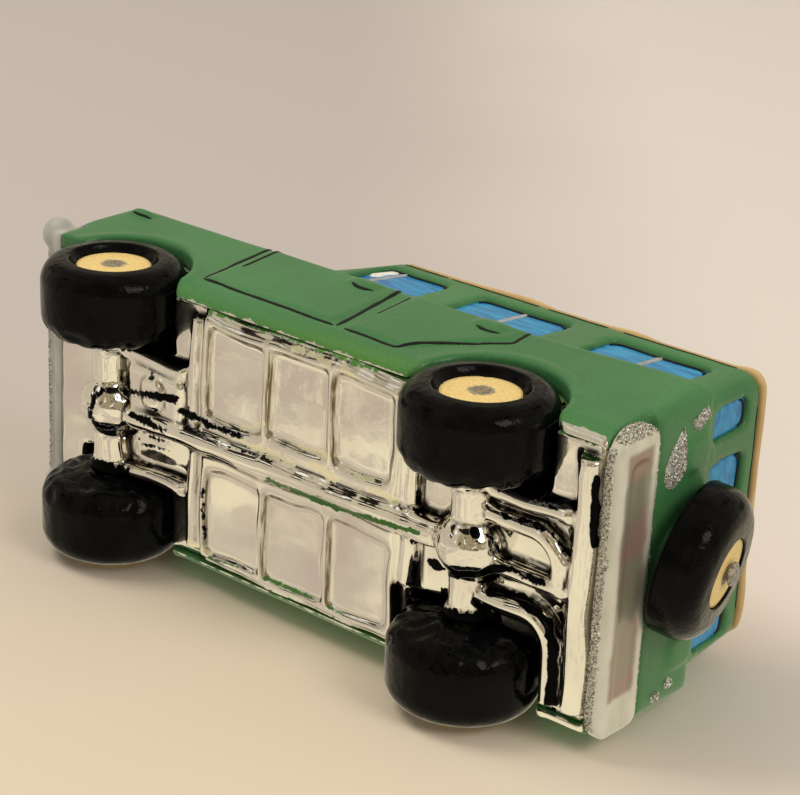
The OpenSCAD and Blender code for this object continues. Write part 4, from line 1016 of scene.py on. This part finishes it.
def densePath(points, step, rounds=4):  # even steps along a path, with its corners eased
    points = [Vector(p) for p in points]
    path = []
    for a, b in zip(points, points[1:]):
        count = max(1, round((b - a).length / step))
        path += [a.lerp(b, i / count) for i in range(count)]
    path.append(points[-1])
    for _ in range(rounds):
        eased = [(a + 2 * b + c) / 4 for a, b, c in zip(path, path[1:], path[2:])]
        path = [path[0], *eased, path[-1]]
    return path


def addStroke(store, samples, width, seed):
    points, faces = store
    first = len(points)
    count = len(samples)
    size = len(strokeSet["section"])
    for i, (spot, normal) in enumerate(samples):
        before = samples[max(i - 1, 0)][0]
        after = samples[min(i + 1, count - 1)][0]
        side = (after - before).cross(normal).normalized()
        ends = min(1.0, strokeSet["tip"] + min(i, count - 1 - i) * strokeSet["tipStep"])
        swing = noise.noise(Vector((i * strokeSet["unevenStep"], seed * strokeSet["unevenSeed"], 0)))
        wide = width * ends * (1 + strokeSet["uneven"] * swing)
        for across, up in strokeSet["section"]:
            lift = strokeSet["rise"] if up > 0 else strokeSet["sink"]
            points.append(spot + side * (across * wide) + normal * (up * lift))
    for i in range(count - 1):
        a = first + i * size
        b = a + size
        for k in range(size):
            m = (k + 1) % size
            faces.append((a + k, a + m, b + m, b + k))
    faces.append(tuple(first + k for k in range(size)))
    faces.append(tuple(first + (count - 1) * size + k for k in range(size)))


def layPath(path, axis, sign, seed):  # lays a path on the body's side (y, z) or on its rear (x, z)
    away = Vector((0, 0, 0))
    away[axis] = -sign
    samples = []
    for i, p in enumerate(densePath(path, strokeSet["step"])):
        spot = Vector((i * strokeSet["wanderStep"], seed * strokeSet["wanderSeed"], 5))
        drift = strokeSet["wander"] * noise.noise(spot)
        start = Vector((0, 0, p[1] + drift))
        start[1 - axis] = p[0] + drift
        start[axis] = sign * strokeSet["outside"]
        hit, normal = bodyTree.ray_cast(start, away)[:2]
        if hit:
            samples.append((hit, normal))
    return samples


# The strokes on a side: path of (y, z) points and width
def sideStrokes():
    d = doorSet
    front, split, low, top = d["frontY"], d["splitY"], d["bottomZ"], d["topZ"]
    rear = split + d["post"]
    strokes = [
        ([(front - 0.7, top), (front - 0.3, top - 6), (front + 0.3, low + 0.8)], 0.6),
        ([(front + 0.5, low + 0.4), (front + 8, low + 0.2), (split + 0.2, low)], 0.55),
        ([(split + 0.7, low + 0.2), (split + 0.1, low + 7), (split - 0.7, top - 0.3)], 0.62),
        ([(rear + 0.4, low), (d["kickY"] - 0.8, low - 0.2), (d["kickY"] + 0.9, low + 2.3),
          (d["rearY"] + 0.4, d["kickZ"]), (d["rearY"] + 0.2, d["kickZ"] + 1.2), (d["rearY"], top - 0.4)],
         0.55),
        ([(front + 1.3, top + 0.1), (front + 1.4, top - 3), (front + 1.6, top - 7.9)], 0.46),
        ([(rear + 0.1, top - 1.4), (rear + 0.4, top - 4), (rear + 0.7, top - 8.4)], 0.24),
    ]
    # ink lines drawn where each handle bump's shadow falls: painted shadow
    for y, z in ((split - 4.7, top - 3.2), (d["rearY"] - 4.2, top - 3.6)):  # under the handles
        strokes.append(([(y - 1.8, z + 0.1), (y - 0.6, z - 0.3), (y + 0.8, z - 0.3), (y + 1.8, z)], 0.6))
    # ink line under the wing bump, where its shadow falls: painted shadow
    wing = places["frontY"] + 5.2
    strokes.append(([(wing - 1.6, top - 2.9), (wing, top - 3.1), (wing + 1.6, top - 2.6)], 0.6))
    return strokes


# The broken line under the roof: its pieces on the sides (start, end along y) and on the rear (along x)
gutterSet = dict(side=((-12.5, -5.0), (-4.2, 10.5), (12.0, 21.5), (24.0, 41.0)),
                 rear=((-13.5, -4.0), (-2.5, 14.0)), drop=0.5, sag=0.1, width=0.3)


def gutterStrokes():
    z = places["gutterZ"] - gutterSet["drop"]
    strokes = []
    for spans, axis, sign in (("side", 0, 1), ("side", 0, -1), ("rear", 1, 1)):
        for number, (start, end) in enumerate(gutterSet[spans]):
            path = [(start, z), ((start + end) / 2, z - gutterSet["sag"]), (end, z)]
            strokes.append(layPath(path, axis, sign, number))
    return strokes


# Strokes on the panes: a lift is a height above the pane, and the blotch's path is measured from its corner
# edge: the ink line along each pane's upper edge, a painted outline that also paints the shadow under the
# frame
edgeSet = dict(width=0.5, lift=0.16, inset=0.5, wander=2, wanderStep=0.09, seedStep=1.9, fromMiddle=0.12,
               rounds=2)
barSet = dict(width=0.95, lift=0.16, margin=0.25, lean=0.25, frontLean=0.9, frontShift=0.27)
blotchSet = dict(width=1.5, lift=0.14, path=((1.1, -5.0), (1.4, -2.6), (1.9, -1.3), (2.6, -1.0)))


# ink along the top of a pane: painted shadow of the frame's upper rail
def paneStroke(pane, seed):  # follows the upper part of a pane's outline
    outline = pane["outline"]
    cu = sum(p[0] for p in outline) / len(outline)
    cv = sum(p[1] for p in outline) / len(outline)
    height = max(v for u, v in outline) - min(v for u, v in outline)
    level = cv + edgeSet["fromMiddle"] * height
    start = next(i for i, (u, v) in enumerate(outline) if v > level)
    turned = outline[start:] + outline[:start]
    path = [Vector((u, v, 0)) for u, v in turned if v > level]
    samples = []
    for i, p in enumerate(densePath(path, strokeSet["step"], edgeSet["rounds"])):
        spot = Vector((i * edgeSet["wanderStep"], seed * edgeSet["seedStep"], 2))
        drift = strokeSet["wander"] * noise.noise(spot)
        inset = edgeSet["inset"] + edgeSet["wander"] * drift
        toward = Vector((cu - p.x, cv - p.y, 0)).normalized() * inset
        samples.append((pane["toSpace"](p.x + toward.x, p.y + toward.y, edgeSet["lift"]), pane["normal"]))
    return samples


def barStroke(pane):  # the silver bar across a side window
    across = [u for u, v in pane["outline"]]
    heights = [v for u, v in pane["outline"]]
    leaning = pane["name"] == "front_window"
    shift = barSet["frontShift"] * (max(across) - min(across)) if leaning else 0.0
    mid = sum(across) / len(across) - shift
    lean = barSet["frontLean"] if leaning else barSet["lean"]
    low, high = min(heights) + barSet["margin"], max(heights) - barSet["margin"]
    path = densePath([(mid - lean, low, 0), (mid + lean, high, 0)], strokeSet["step"])
    return [(pane["toSpace"](p.x, p.y, barSet["lift"]), pane["normal"]) for p in path]


def blotchStroke(pane):  # bare silvering in the front window's upper corner, its bright reflection painted on in pale white
    u = min(p[0] for p in pane["outline"])
    v = max(p[1] for p in pane["outline"])
    path = densePath([(u + across, v + up, 0) for across, up in blotchSet["path"]], strokeSet["step"])
    return [(pane["toSpace"](p.x, p.y, blotchSet["lift"]), pane["normal"]) for p in path]


def makeLines():
    inkStore = ([], [])
    barStore = ([], [])
    paleStore = ([], [])
    for sign in (1, -1):
        for number, (path, width) in enumerate(sideStrokes()):
            addStroke(inkStore, layPath(path, 0, sign, number + sign), width, number)
    for number, samples in enumerate(gutterStrokes()):
        addStroke(inkStore, samples, gutterSet["width"], number)
    for number, pane in enumerate(panes):
        # black line along each pane's top: painted shadow under the frame
        addStroke(inkStore, paneStroke(pane, number), edgeSet["width"], number)
        if pane["side"]:
            addStroke(barStore, barStroke(pane), barSet["width"], number)
        # the pale patch: a painted highlight on bare silvering
        if pane["name"] == "front_window":
            addStroke(paleStore, blotchStroke(pane), blotchSet["width"], number)
    dress(build("paintedLines", *inkStore, ink), "car", "black_lacquer")
    dress(build("silverBars", *barStore, silver), "car", "silver_line", "window_bars")
    dress(build("paleGlintPatches", *paleStore, pale), "car", "silver_line")


makeLines()
print("painted lines laid")


# Tyres and gold discs
roadSet = dict(segments=112, wobble=0.12, innerShoulder=3.2, outerShoulder=3.0, mouth=6.15, lip=0.55,
               recess=1.05, discRadius=4.9, bore=1.25, boss=4.4, bossRise=0.4, lumps=0.7)
spareSet = dict(segments=112, wobble=0.1, innerShoulder=0.8, outerShoulder=3.6, mouth=4.75, lip=0.35,
                recess=0.3, discRadius=4.42, bore=1.25, boss=3.0, bossRise=0.0, lumps=0.0,
                tilt=11, turn=-10, seat=0.45, across=0.8, height=24.5, radius=9.8, width=6.2)
tyreSet = dict(pocket=1.3, flat=0.6, flatRise=0.12, lipRoot=0.4, floorOut=0.3, floorSink=0.02, wallIn=0.12,
               wallSink=0.3, lumpSize=1.9, innerFacing=-0.2, seedStep=0.1)
discSet = dict(segments=72, dome=0.15, thickness=2.0, rings=(1, 0.9, 0.8, 0.65, 0.5, 0.3, 0.15, 0))


def arc(cx, cy, radius, start, end, steps):
    angles = [math.radians(start + (end - start) * i / steps) for i in range(steps + 1)]
    return [(cx + radius * math.cos(a), cy + radius * math.sin(a)) for a in angles]


def tyreProfile(t, radius, width):
    s = tyreSet
    floor = width - t["recess"]
    wall = t["discRadius"] - s["wallIn"]
    profile = [(t["bore"], s["pocket"]), (t["bore"], -t["bossRise"]), (t["boss"], -t["bossRise"]),
               (radius - t["innerShoulder"] - s["flat"], s["flatRise"])]
    profile += arc(radius - t["innerShoulder"], t["innerShoulder"], t["innerShoulder"], -84, 0, 9)
    profile += [(radius, (t["innerShoulder"] + width - t["outerShoulder"]) / 2)]
    profile += arc(radius - t["outerShoulder"], width - t["outerShoulder"], t["outerShoulder"], 0, 80, 10)
    profile += arc(t["mouth"] + t["lip"] * s["lipRoot"], width - t["lip"], t["lip"], 70, 170, 5)
    profile += [(t["discRadius"] + s["floorOut"], floor - s["floorSink"]), (wall, floor - s["wallSink"]),
                (wall, s["pocket"])]
    return profile


def makeWheel(label, nodes, body, origin, axis, radius, width, t):
    seed = len(label) + origin.y * tyreSet["seedStep"]
    tyre = lathe(label + "Tyre", black, tyreProfile(t, radius, width), origin, axis, t["segments"],
                 t["wobble"], seed)

    def lumpy(point, normal):  # the paint is uneven on the inner side
        inner = normal.dot(axis) < tyreSet["innerFacing"]
        return -t["lumps"] * max(0, noise.noise(point / tyreSet["lumpSize"])) * inner

    swell(tyre, lumpy)
    dress(tyre, body, "black_lacquer", nodes[0])
    face = width - t["recess"]
    rim = t["discRadius"]
    profile = [(0, face - discSet["thickness"]), (rim, face - discSet["thickness"])]
    profile += [(rim * s, face + discSet["dome"] * (1 - s * s)) for s in discSet["rings"]]
    disc = lathe(label + "Disc", gold, profile, origin, axis, discSet["segments"])
    share = disc.data.attributes.new("rim", "FLOAT", "POINT")
    for vertex, value in zip(disc.data.vertices, share.data):
        away = vertex.co / mm - origin
        value.value = (away - axis * away.dot(axis)).length / rim
    dress(disc, body, "gold_lacquer", nodes[1])


def makeWheels():
    for end in ("front", "rear"):
        for side, sign in (("left", 1), ("right", -1)):
            name = end + "_" + side
            low, high = corners(name + "_tyre")
            origin = (low + high) / 2
            origin.x = low.x if sign > 0 else high.x
            makeWheel(end + side.capitalize(), (name + "_tyre", name + "_hub"), name + "_wheel", origin,
                      Vector((sign, 0, 0)), (high.z - low.z) / 2, high.x - low.x, roadSet)
    tilt = math.radians(spareSet["tilt"])
    turn = math.radians(spareSet["turn"])
    axis = Vector((math.sin(turn) * math.cos(tilt), math.cos(turn) * math.cos(tilt), math.sin(tilt)))
    seat = Vector((spareSet["across"], places["rearY"] + spareSet["seat"], spareSet["height"]))
    makeWheel("spare", ("spare_tyre", "spare_hub"), "car", seat, axis, spareSet["radius"], spareSet["width"],
              spareSet)


makeWheels()
print("wheels made")


# Bumpers
bumperSet = dict(voxel=0.3, rounds=6, ripple=0.08, rippleSize=4, rippleSink=0.4,
                 channelFill=((-15.6, 45.4, 12.0), (15.6, 46.9, 15.8)))  # makes the rear channel shallower
paleFrost = ((204, 197, 174), (232, 225, 204))
greyFrost = ((172, 170, 160), (208, 204, 192))
# the rear bumper's darker strip: a painted reflection
rearReflectionStrip = dict(centre=(1.5, 0, 13.6), half=(15.8, 2.5), soft=0.8, edge=0.1, share=0.9,  # half along x, z
                 tones=((136, 130, 104), (152, 118, 102)))


def makeBumper(label, node, tones, strip):
    frosted = frostedSilver(label + "Frost", tones, strip)
    fill = [bumperSet["channelFill"]] if node == "rear_bumper" else []
    skin = fuse(label, frosted, (node,), fill, bumperSet["voxel"], bumperSet["rounds"])

    def rule(point, normal):
        return bumperSet["ripple"] * (noise.noise(point / bumperSet["rippleSize"]) - bumperSet["rippleSink"])

    swell(skin, rule)
    return dress(skin, "car", "frosted_silver", node)


rearBumper = makeBumper("rearBumper", "rear_bumper", paleFrost, rearReflectionStrip)
frontBumper = makeBumper("frontBumper", "front_bumper", greyFrost, dict(rearReflectionStrip, share=0.0))
print("bumpers made")


# Grille, lamps and bare steel
trimSet = dict(voxel=0.2, rounds=3)


def makeTrim(label, node, material, slot):
    return dress(fuse(label, material, (node,), (), trimSet["voxel"], trimSet["rounds"]), "car", slot, node)


makeTrim("grilleBars", "grille", silver, "frosted_silver")
makeTrim("headlampRims", "headlamps", silver, "frosted_silver")


# Tail lamps: outlines in x and z on the rear face; on the right only two specks of them are left
lampSet = dict(
    dome=0.45, depth=0.3, speck=0.75, speckSteps=12, specks=((-17.9, 22.5), (-17.0, 25.1)),
    long=((17.2, 23.3), (15.5, 23.9), (13.6, 24.1), (11.6, 24.2), (10.6, 23.5), (9.9, 22.2), (10.1, 20.7),
          (11.6, 20.0), (12.9, 20.0), (14.2, 20.7), (15.5, 21.7), (16.7, 22.7)),
    short=((18.5, 28.2), (17.5, 28.8), (17.0, 27.6), (16.0, 26.5), (16.6, 25.4), (17.6, 25.0), (17.9, 26.2),
           (18.3, 27.2)))


def lampPatch(name, outline):
    def toSpace(u, v, height):
        hit = bodyTree.ray_cast(Vector((u, strokeSet["outside"], v)), Vector((0, -1, 0)))[0]
        return Vector((u, hit.y + height, v))

    return cushion(name, silver, outline, toSpace, lampSet["dome"], lampSet["depth"])


def makeLamps(name, node, outlines):
    patches = [lampPatch(name, outline) for outline in outlines]
    whole = bmesh.new()
    for patch in patches:
        whole.from_mesh(patch.data)
    whole.to_mesh(patches[0].data)
    whole.free()
    for patch in patches[1:]:
        bpy.data.objects.remove(patch)
    patches[0].name = name
    for face in patches[0].data.polygons:
        face.use_smooth = True
    return dress(patches[0], "car", "glitter_silver", node)


def speckOutline(x, z):
    steps = lampSet["speckSteps"]
    angles = [2 * math.pi * i / steps for i in range(steps)]
    return [(x + lampSet["speck"] * math.cos(a), z + lampSet["speck"] * math.sin(a)) for a in angles]


specks = [speckOutline(*place) for place in lampSet["specks"]]
lamps = [makeTrim("frontIndicators", "front_indicators", silver, "glitter_silver"),
         makeLamps("leftTailLamps", "left_tail_lamps", (lampSet["long"], lampSet["short"])),
         makeLamps("rightTailLamps", "right_tail_lamps", specks)]
for node, finish in (("spare_carrier", carrier), ("front_axle_pin", steel), ("rear_axle_pin", steel)):
    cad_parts[node].data.materials.clear()
    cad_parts[node].data.materials.append(finish)
print("trim made")


# Glitter: loose flakes scattered over the bumpers' edges and the lamps
glitterSet = dict(flakes=30.0, size=0.3, seed=11, turn=6.28, least=(0.6, 0.6, 0.25), most=(1.3, 1.3, 0.6))


def glitterTree():
    tree = bpy.data.node_groups.new("glitterFlakes", "GeometryNodeTree")
    sockets = {}
    for name, kind in (("Surface", "Geometry"), ("Flakes per mm2", "Float"), ("Flake size", "Float"),
                       ("Seed", "Int"), ("Flake finish", "Material")):
        socket = tree.interface.new_socket(name, in_out="INPUT", socket_type="NodeSocket" + kind)
        sockets[name] = socket.identifier
    tree.interface.new_socket("Flakes", in_out="OUTPUT", socket_type="NodeSocketGeometry")
    given = addNode(tree, "NodeGroupInput").outputs
    density = addNode(tree, "ShaderNodeMath", {0: given["Flakes per mm2"], 1: 1 / mm ** 2},
                      operation="MULTIPLY")
    spread = addNode(tree, "GeometryNodeDistributePointsOnFaces", {
        "Mesh": given["Surface"], "Density": density.outputs[0], "Seed": given["Seed"]})
    radius = addNode(tree, "ShaderNodeMath", {0: given["Flake size"], 1: mm / 2}, operation="MULTIPLY")
    flake = addNode(tree, "GeometryNodeMeshIcoSphere", {"Radius": radius.outputs[0], "Subdivisions": 1})
    turn = addNode(tree, "FunctionNodeRandomValue", {
        "Min": (0, 0, 0), "Max": (glitterSet["turn"],) * 3, "Seed": given["Seed"]},
        data_type="FLOAT_VECTOR")
    scale = addNode(tree, "FunctionNodeRandomValue", {
        "Min": glitterSet["least"], "Max": glitterSet["most"], "Seed": given["Seed"]},
        data_type="FLOAT_VECTOR")
    placed = addNode(tree, "GeometryNodeInstanceOnPoints", {
        "Points": spread.outputs["Points"], "Instance": flake.outputs["Mesh"],
        "Rotation": turn.outputs["Value"], "Scale": scale.outputs["Value"]})
    solid = addNode(tree, "GeometryNodeRealizeInstances", {"Geometry": placed.outputs[0]})
    done = addNode(tree, "GeometryNodeSetMaterial", {"Geometry": solid.outputs[0],
                                                     "Material": given["Flake finish"]})
    out = addNode(tree, "NodeGroupOutput")
    tree.links.new(done.outputs[0], out.inputs[0])
    return tree, sockets


flakeTree, flakeSockets = glitterTree()


def sprinkle(label, piece, keep, share=1.0):  # flakes where keep(point) holds
    shape = bmesh.new()
    shape.from_mesh(piece.data)
    spare = [f for f in shape.faces if not keep(f.calc_center_median() / mm)]
    bmesh.ops.delete(shape, geom=spare, context="FACES")
    mesh = bpy.data.meshes.new(label)
    shape.to_mesh(mesh)
    shape.free()
    bed = link(label, mesh, glitter)
    live = bed.modifiers.new("flakes", "NODES")
    live.node_group = flakeTree
    live[flakeSockets["Flakes per mm2"]] = glitterSet["flakes"] * share
    live[flakeSockets["Flake size"]] = glitterSet["size"]
    live[flakeSockets["Seed"]] = glitterSet["seed"]
    live[flakeSockets["Flake finish"]] = glitter
    settle(bed, smooth=False)
    return dress(bed, "car", "glitter_silver")


# Where the flakes lie, measured from the corners of each piece
raggedSet = dict(bumperSize=1.3, lampSize=2.2, lampLeast=-0.6)
rimSet = dict(wander=0.3, lowerZ=0.6, lowerY=(0.2, 1.35), upperZ=0.55, upperY=1.0, endX=1.3, endY=0.5)
trailSet = dict(wander=0.35, height=1.0, half=0.45, depth=2.2, ends=5.0, share=0.5)
rearLow, rearHigh = corners("rear_bumper")
frontLow, frontHigh = corners("front_bumper")


def lampFace(point):
    return noise.noise(point / raggedSet["lampSize"]) > raggedSet["lampLeast"]


def rearEdges(point):  # lower and upper edge, and the end on the car's left
    r = rimSet
    low, high = rearLow, rearHigh
    wander = r["wander"] * noise.noise(point / raggedSet["bumperSize"])
    start, stop = (low.y + depth for depth in r["lowerY"])
    lower = point.z < low.z + r["lowerZ"] + wander and start < point.y < stop + wander
    upper = point.y > high.y - r["upperY"] and point.z > high.z - r["upperZ"] + wander
    end = point.x > high.x - r["endX"] + wander and point.y > low.y + r["endY"]
    return lower or upper or end


def frontLine(point):  # a thin trail along the bar, on its lower front
    t = trailSet
    wander = t["wander"] * noise.noise(point / raggedSet["bumperSize"])
    near = abs(point.z - frontLow.z - t["height"]) < t["half"] + wander
    return near and point.y < frontLow.y + t["depth"] and abs(point.x) < frontHigh.x - t["ends"]


sprinkle("rearBumperGlitter", rearBumper, rearEdges)
sprinkle("frontBumperGlitter", frontBumper, frontLine, trailSet["share"])
for lamp in lamps:
    sprinkle(lamp.name + "Glitter", lamp, lampFace)
print("glitter strewn")


# Stage and light
# paper tones: shade far off and bright to the right are painted shade and painted light; rose and cream are
# painted reflections that mirrors see
stageSet = dict(
    gap=0.2, reach=1600, shade=(204, 192, 181), warm=(238, 220, 190), bright=(238, 226, 211),
    cloudSize=80, cloudReach=22.0, far=(-34.0, 26.0), right=(0.0, 90.0), dull=0.85,
    rose=(204, 190, 172), cream=(244, 232, 199), mottleSize=18, mottle=(0.34, 0.66),
    slopes=((-68.0, -40.0, -0.14, 0.1), (-38.0, -29.0, 0, -0.16), (-8.0, 12.0, 0, 0.2)),  # y, y, share, share
)


def stagePaper(name):  # seen from its front alone; what mirrors it sees it mottled
    s = stageSet
    material, tree, shader = newMaterial(name)
    cloud = sway(tree, grain(tree, s["cloudSize"], 2), s["cloudReach"])
    far = ramp(tree, sums(tree, "ADD", along(tree, viewUp), cloud), *s["far"])
    # painted shade far off, and painted light to the right that lifts the car's shadow
    right = ramp(tree, sums(tree, "ADD", along(tree, viewRight), cloud), *s["right"])
    back = blendTones(tree, right, tone(*s["shade"]), tone(*s["bright"]))
    front = blendTones(tree, right, tone(*s["warm"]), tone(*s["bright"]))
    paper = blendTones(tree, far, front, back)
    ray = addNode(tree, "ShaderNodeLightPath").outputs
    feed(tree, paper, shader, "Base Color")
    shader.inputs["Roughness"].default_value = s["dull"]
    rearward = along(tree, (0, 1, 0))  # rosy to cream under the left panels, and again towards the rear
    slope = 0.0
    for span in s["slopes"]:
        slope = sums(tree, "ADD", slope, ramp(tree, rearward, *span))
    mottle = sums(tree, "ADD", grain(tree, s["mottleSize"], 2, (1, 1, 1), (5, 2, 9)), slope)
    # for mirrors the paper glows, unlit: a painted reflection from rose to cream
    paintedReflection = addNode(tree, "ShaderNodeEmission", {
        "Color": twoTones(tree, mottle, *s["mottle"], s["rose"], s["cream"])})
    sheen = addNode(tree, "ShaderNodeMixShader",
                    {0: ray["Is Glossy Ray"], 1: shader.outputs[0], 2: paintedReflection.outputs[0]})
    mirrored = sums(tree, "MAXIMUM", ray["Is Glossy Ray"], ray["Is Transmission Ray"])
    seen = sums(tree, "MAXIMUM", ray["Is Camera Ray"], mirrored)
    reverse = addNode(tree, "ShaderNodeNewGeometry").outputs["Backfacing"]
    shown = sums(tree, "MULTIPLY", seen, sums(tree, "SUBTRACT", 1.0, reverse))
    clear = addNode(tree, "ShaderNodeBsdfTransparent")
    mix = addNode(tree, "ShaderNodeMixShader", {0: shown, 1: clear.outputs[0], 2: sheen.outputs[0]})
    tree.links.new(mix.outputs[0], tree.nodes["Material Output"].inputs[0])
    return material


def addSheet(name, points, material):
    mesh = bpy.data.meshes.new(name)
    mesh.from_pydata([Vector(p) * mm for p in points], [], [(0, 1, 2, 3)])
    link(name, mesh, material)


def addStage():
    reach = stageSet["reach"]
    x = cadBox[0].x / mm - stageSet["gap"]
    addSheet("sidePaper", [(x, -reach, -reach), (x, reach, -reach), (x, reach, reach), (x, -reach, reach)],
             stagePaper("sidePaperTone"))


# Lamps: how far right of, above and before the car as the camera sees it, in metres
lightSet = dict(keyLight=dict(right=-0.5, up=0.9, back=0.15, size=0.5, power=4.2, mirrored=False),
                fillLight=dict(right=0.6, up=0.4, back=0.8, size=0.5, power=3.2, mirrored=True))
lightColour = (1.0, 0.97, 0.93)


def addLight(name, right, up, back, size, power, mirrored):
    aim = (cadBox[0] + cadBox[1]) / 2
    data = bpy.data.lights.new(name, "AREA")
    data.shape = "DISK"
    data.size = size
    data.energy = power
    data.color = lightColour
    lamp = bpy.data.objects.new(name, data)
    bpy.context.scene.collection.objects.link(lamp)
    lamp.location = aim + viewRight * right + viewUp * up + viewBack * back
    lamp.rotation_euler = (aim - lamp.location).to_track_quat("-Z", "Y").to_euler()
    lamp.visible_glossy = mirrored


# The room: plain and pale on what is dull, and with darker and brighter sides in what mirrors it
roomSet = dict(plain=(1.0, 0.97, 0.93, 1), plainLevel=0.5, wall=(200, 190, 166), dark=(34, 28, 24),
               near=(160, 146, 114), bright=(255, 251, 244), patch=3.8, wander=0.6, behind=(0.55, 0.72),
               window=(0.62, 0.65), windowShift=(2, 9, 3), gloom=(0.58, 0.64), gloomShift=(4, 1, 7))


def addWorld():
    world = bpy.data.worlds.new("room")
    bpy.context.scene.world = world
    world.use_nodes = True
    tree = world.node_tree
    tree.nodes.clear()
    out = addNode(tree, "ShaderNodeOutputWorld")
    ray = addNode(tree, "ShaderNodeLightPath").outputs
    plain = addNode(tree, "ShaderNodeBackground", {
        "Color": roomSet["plain"], "Strength": roomSet["plainLevel"]})
    view = addNode(tree, "ShaderNodeBackground", {"Color": tone(*stageSet["bright"]), "Strength": 1.0})
    way = addNode(tree, "ShaderNodeTexCoord").outputs["Generated"]

    def patches(shift):
        place = addNode(tree, "ShaderNodeMapping", {"Vector": way, "Location": shift})
        return addNode(tree, "ShaderNodeTexNoise", {
            "Vector": place.outputs[0], "Scale": roomSet["patch"], "Detail": 2.0}).outputs[0]

    wander = sway(tree, patches((0, 0, 0)), roomSet["wander"])
    toCamera = addNode(tree, "ShaderNodeVectorMath", {0: way, 1: viewBack}, operation="DOT_PRODUCT")
    behind = ramp(tree, sums(tree, "ADD", toCamera.outputs["Value"], wander), *roomSet["behind"])
    corner = ramp(tree, patches(roomSet["gloomShift"]), *roomSet["gloom"])
    window = ramp(tree, patches(roomSet["windowShift"]), *roomSet["window"])
    shade = blendTones(tree, behind, tone(*roomSet["wall"]), tone(*roomSet["near"]))
    shade = blendTones(tree, corner, shade, tone(*roomSet["dark"]))
    shade = blendTones(tree, window, shade, tone(*roomSet["bright"]))
    room = addNode(tree, "ShaderNodeBackground", {"Color": shade, "Strength": 1.0})
    first = addNode(tree, "ShaderNodeMixShader",
                    {0: ray["Is Camera Ray"], 1: plain.outputs[0], 2: view.outputs[0]})
    second = addNode(tree, "ShaderNodeMixShader",
                     {0: ray["Is Glossy Ray"], 1: first.outputs[0], 2: room.outputs[0]})
    tree.links.new(second.outputs[0], out.inputs[0])


addStage()
addWorld()
for name, values in lightSet.items():
    addLight(name, **values)
bpy.context.scene.view_settings.view_transform = "Standard"
print("stage and light placed")
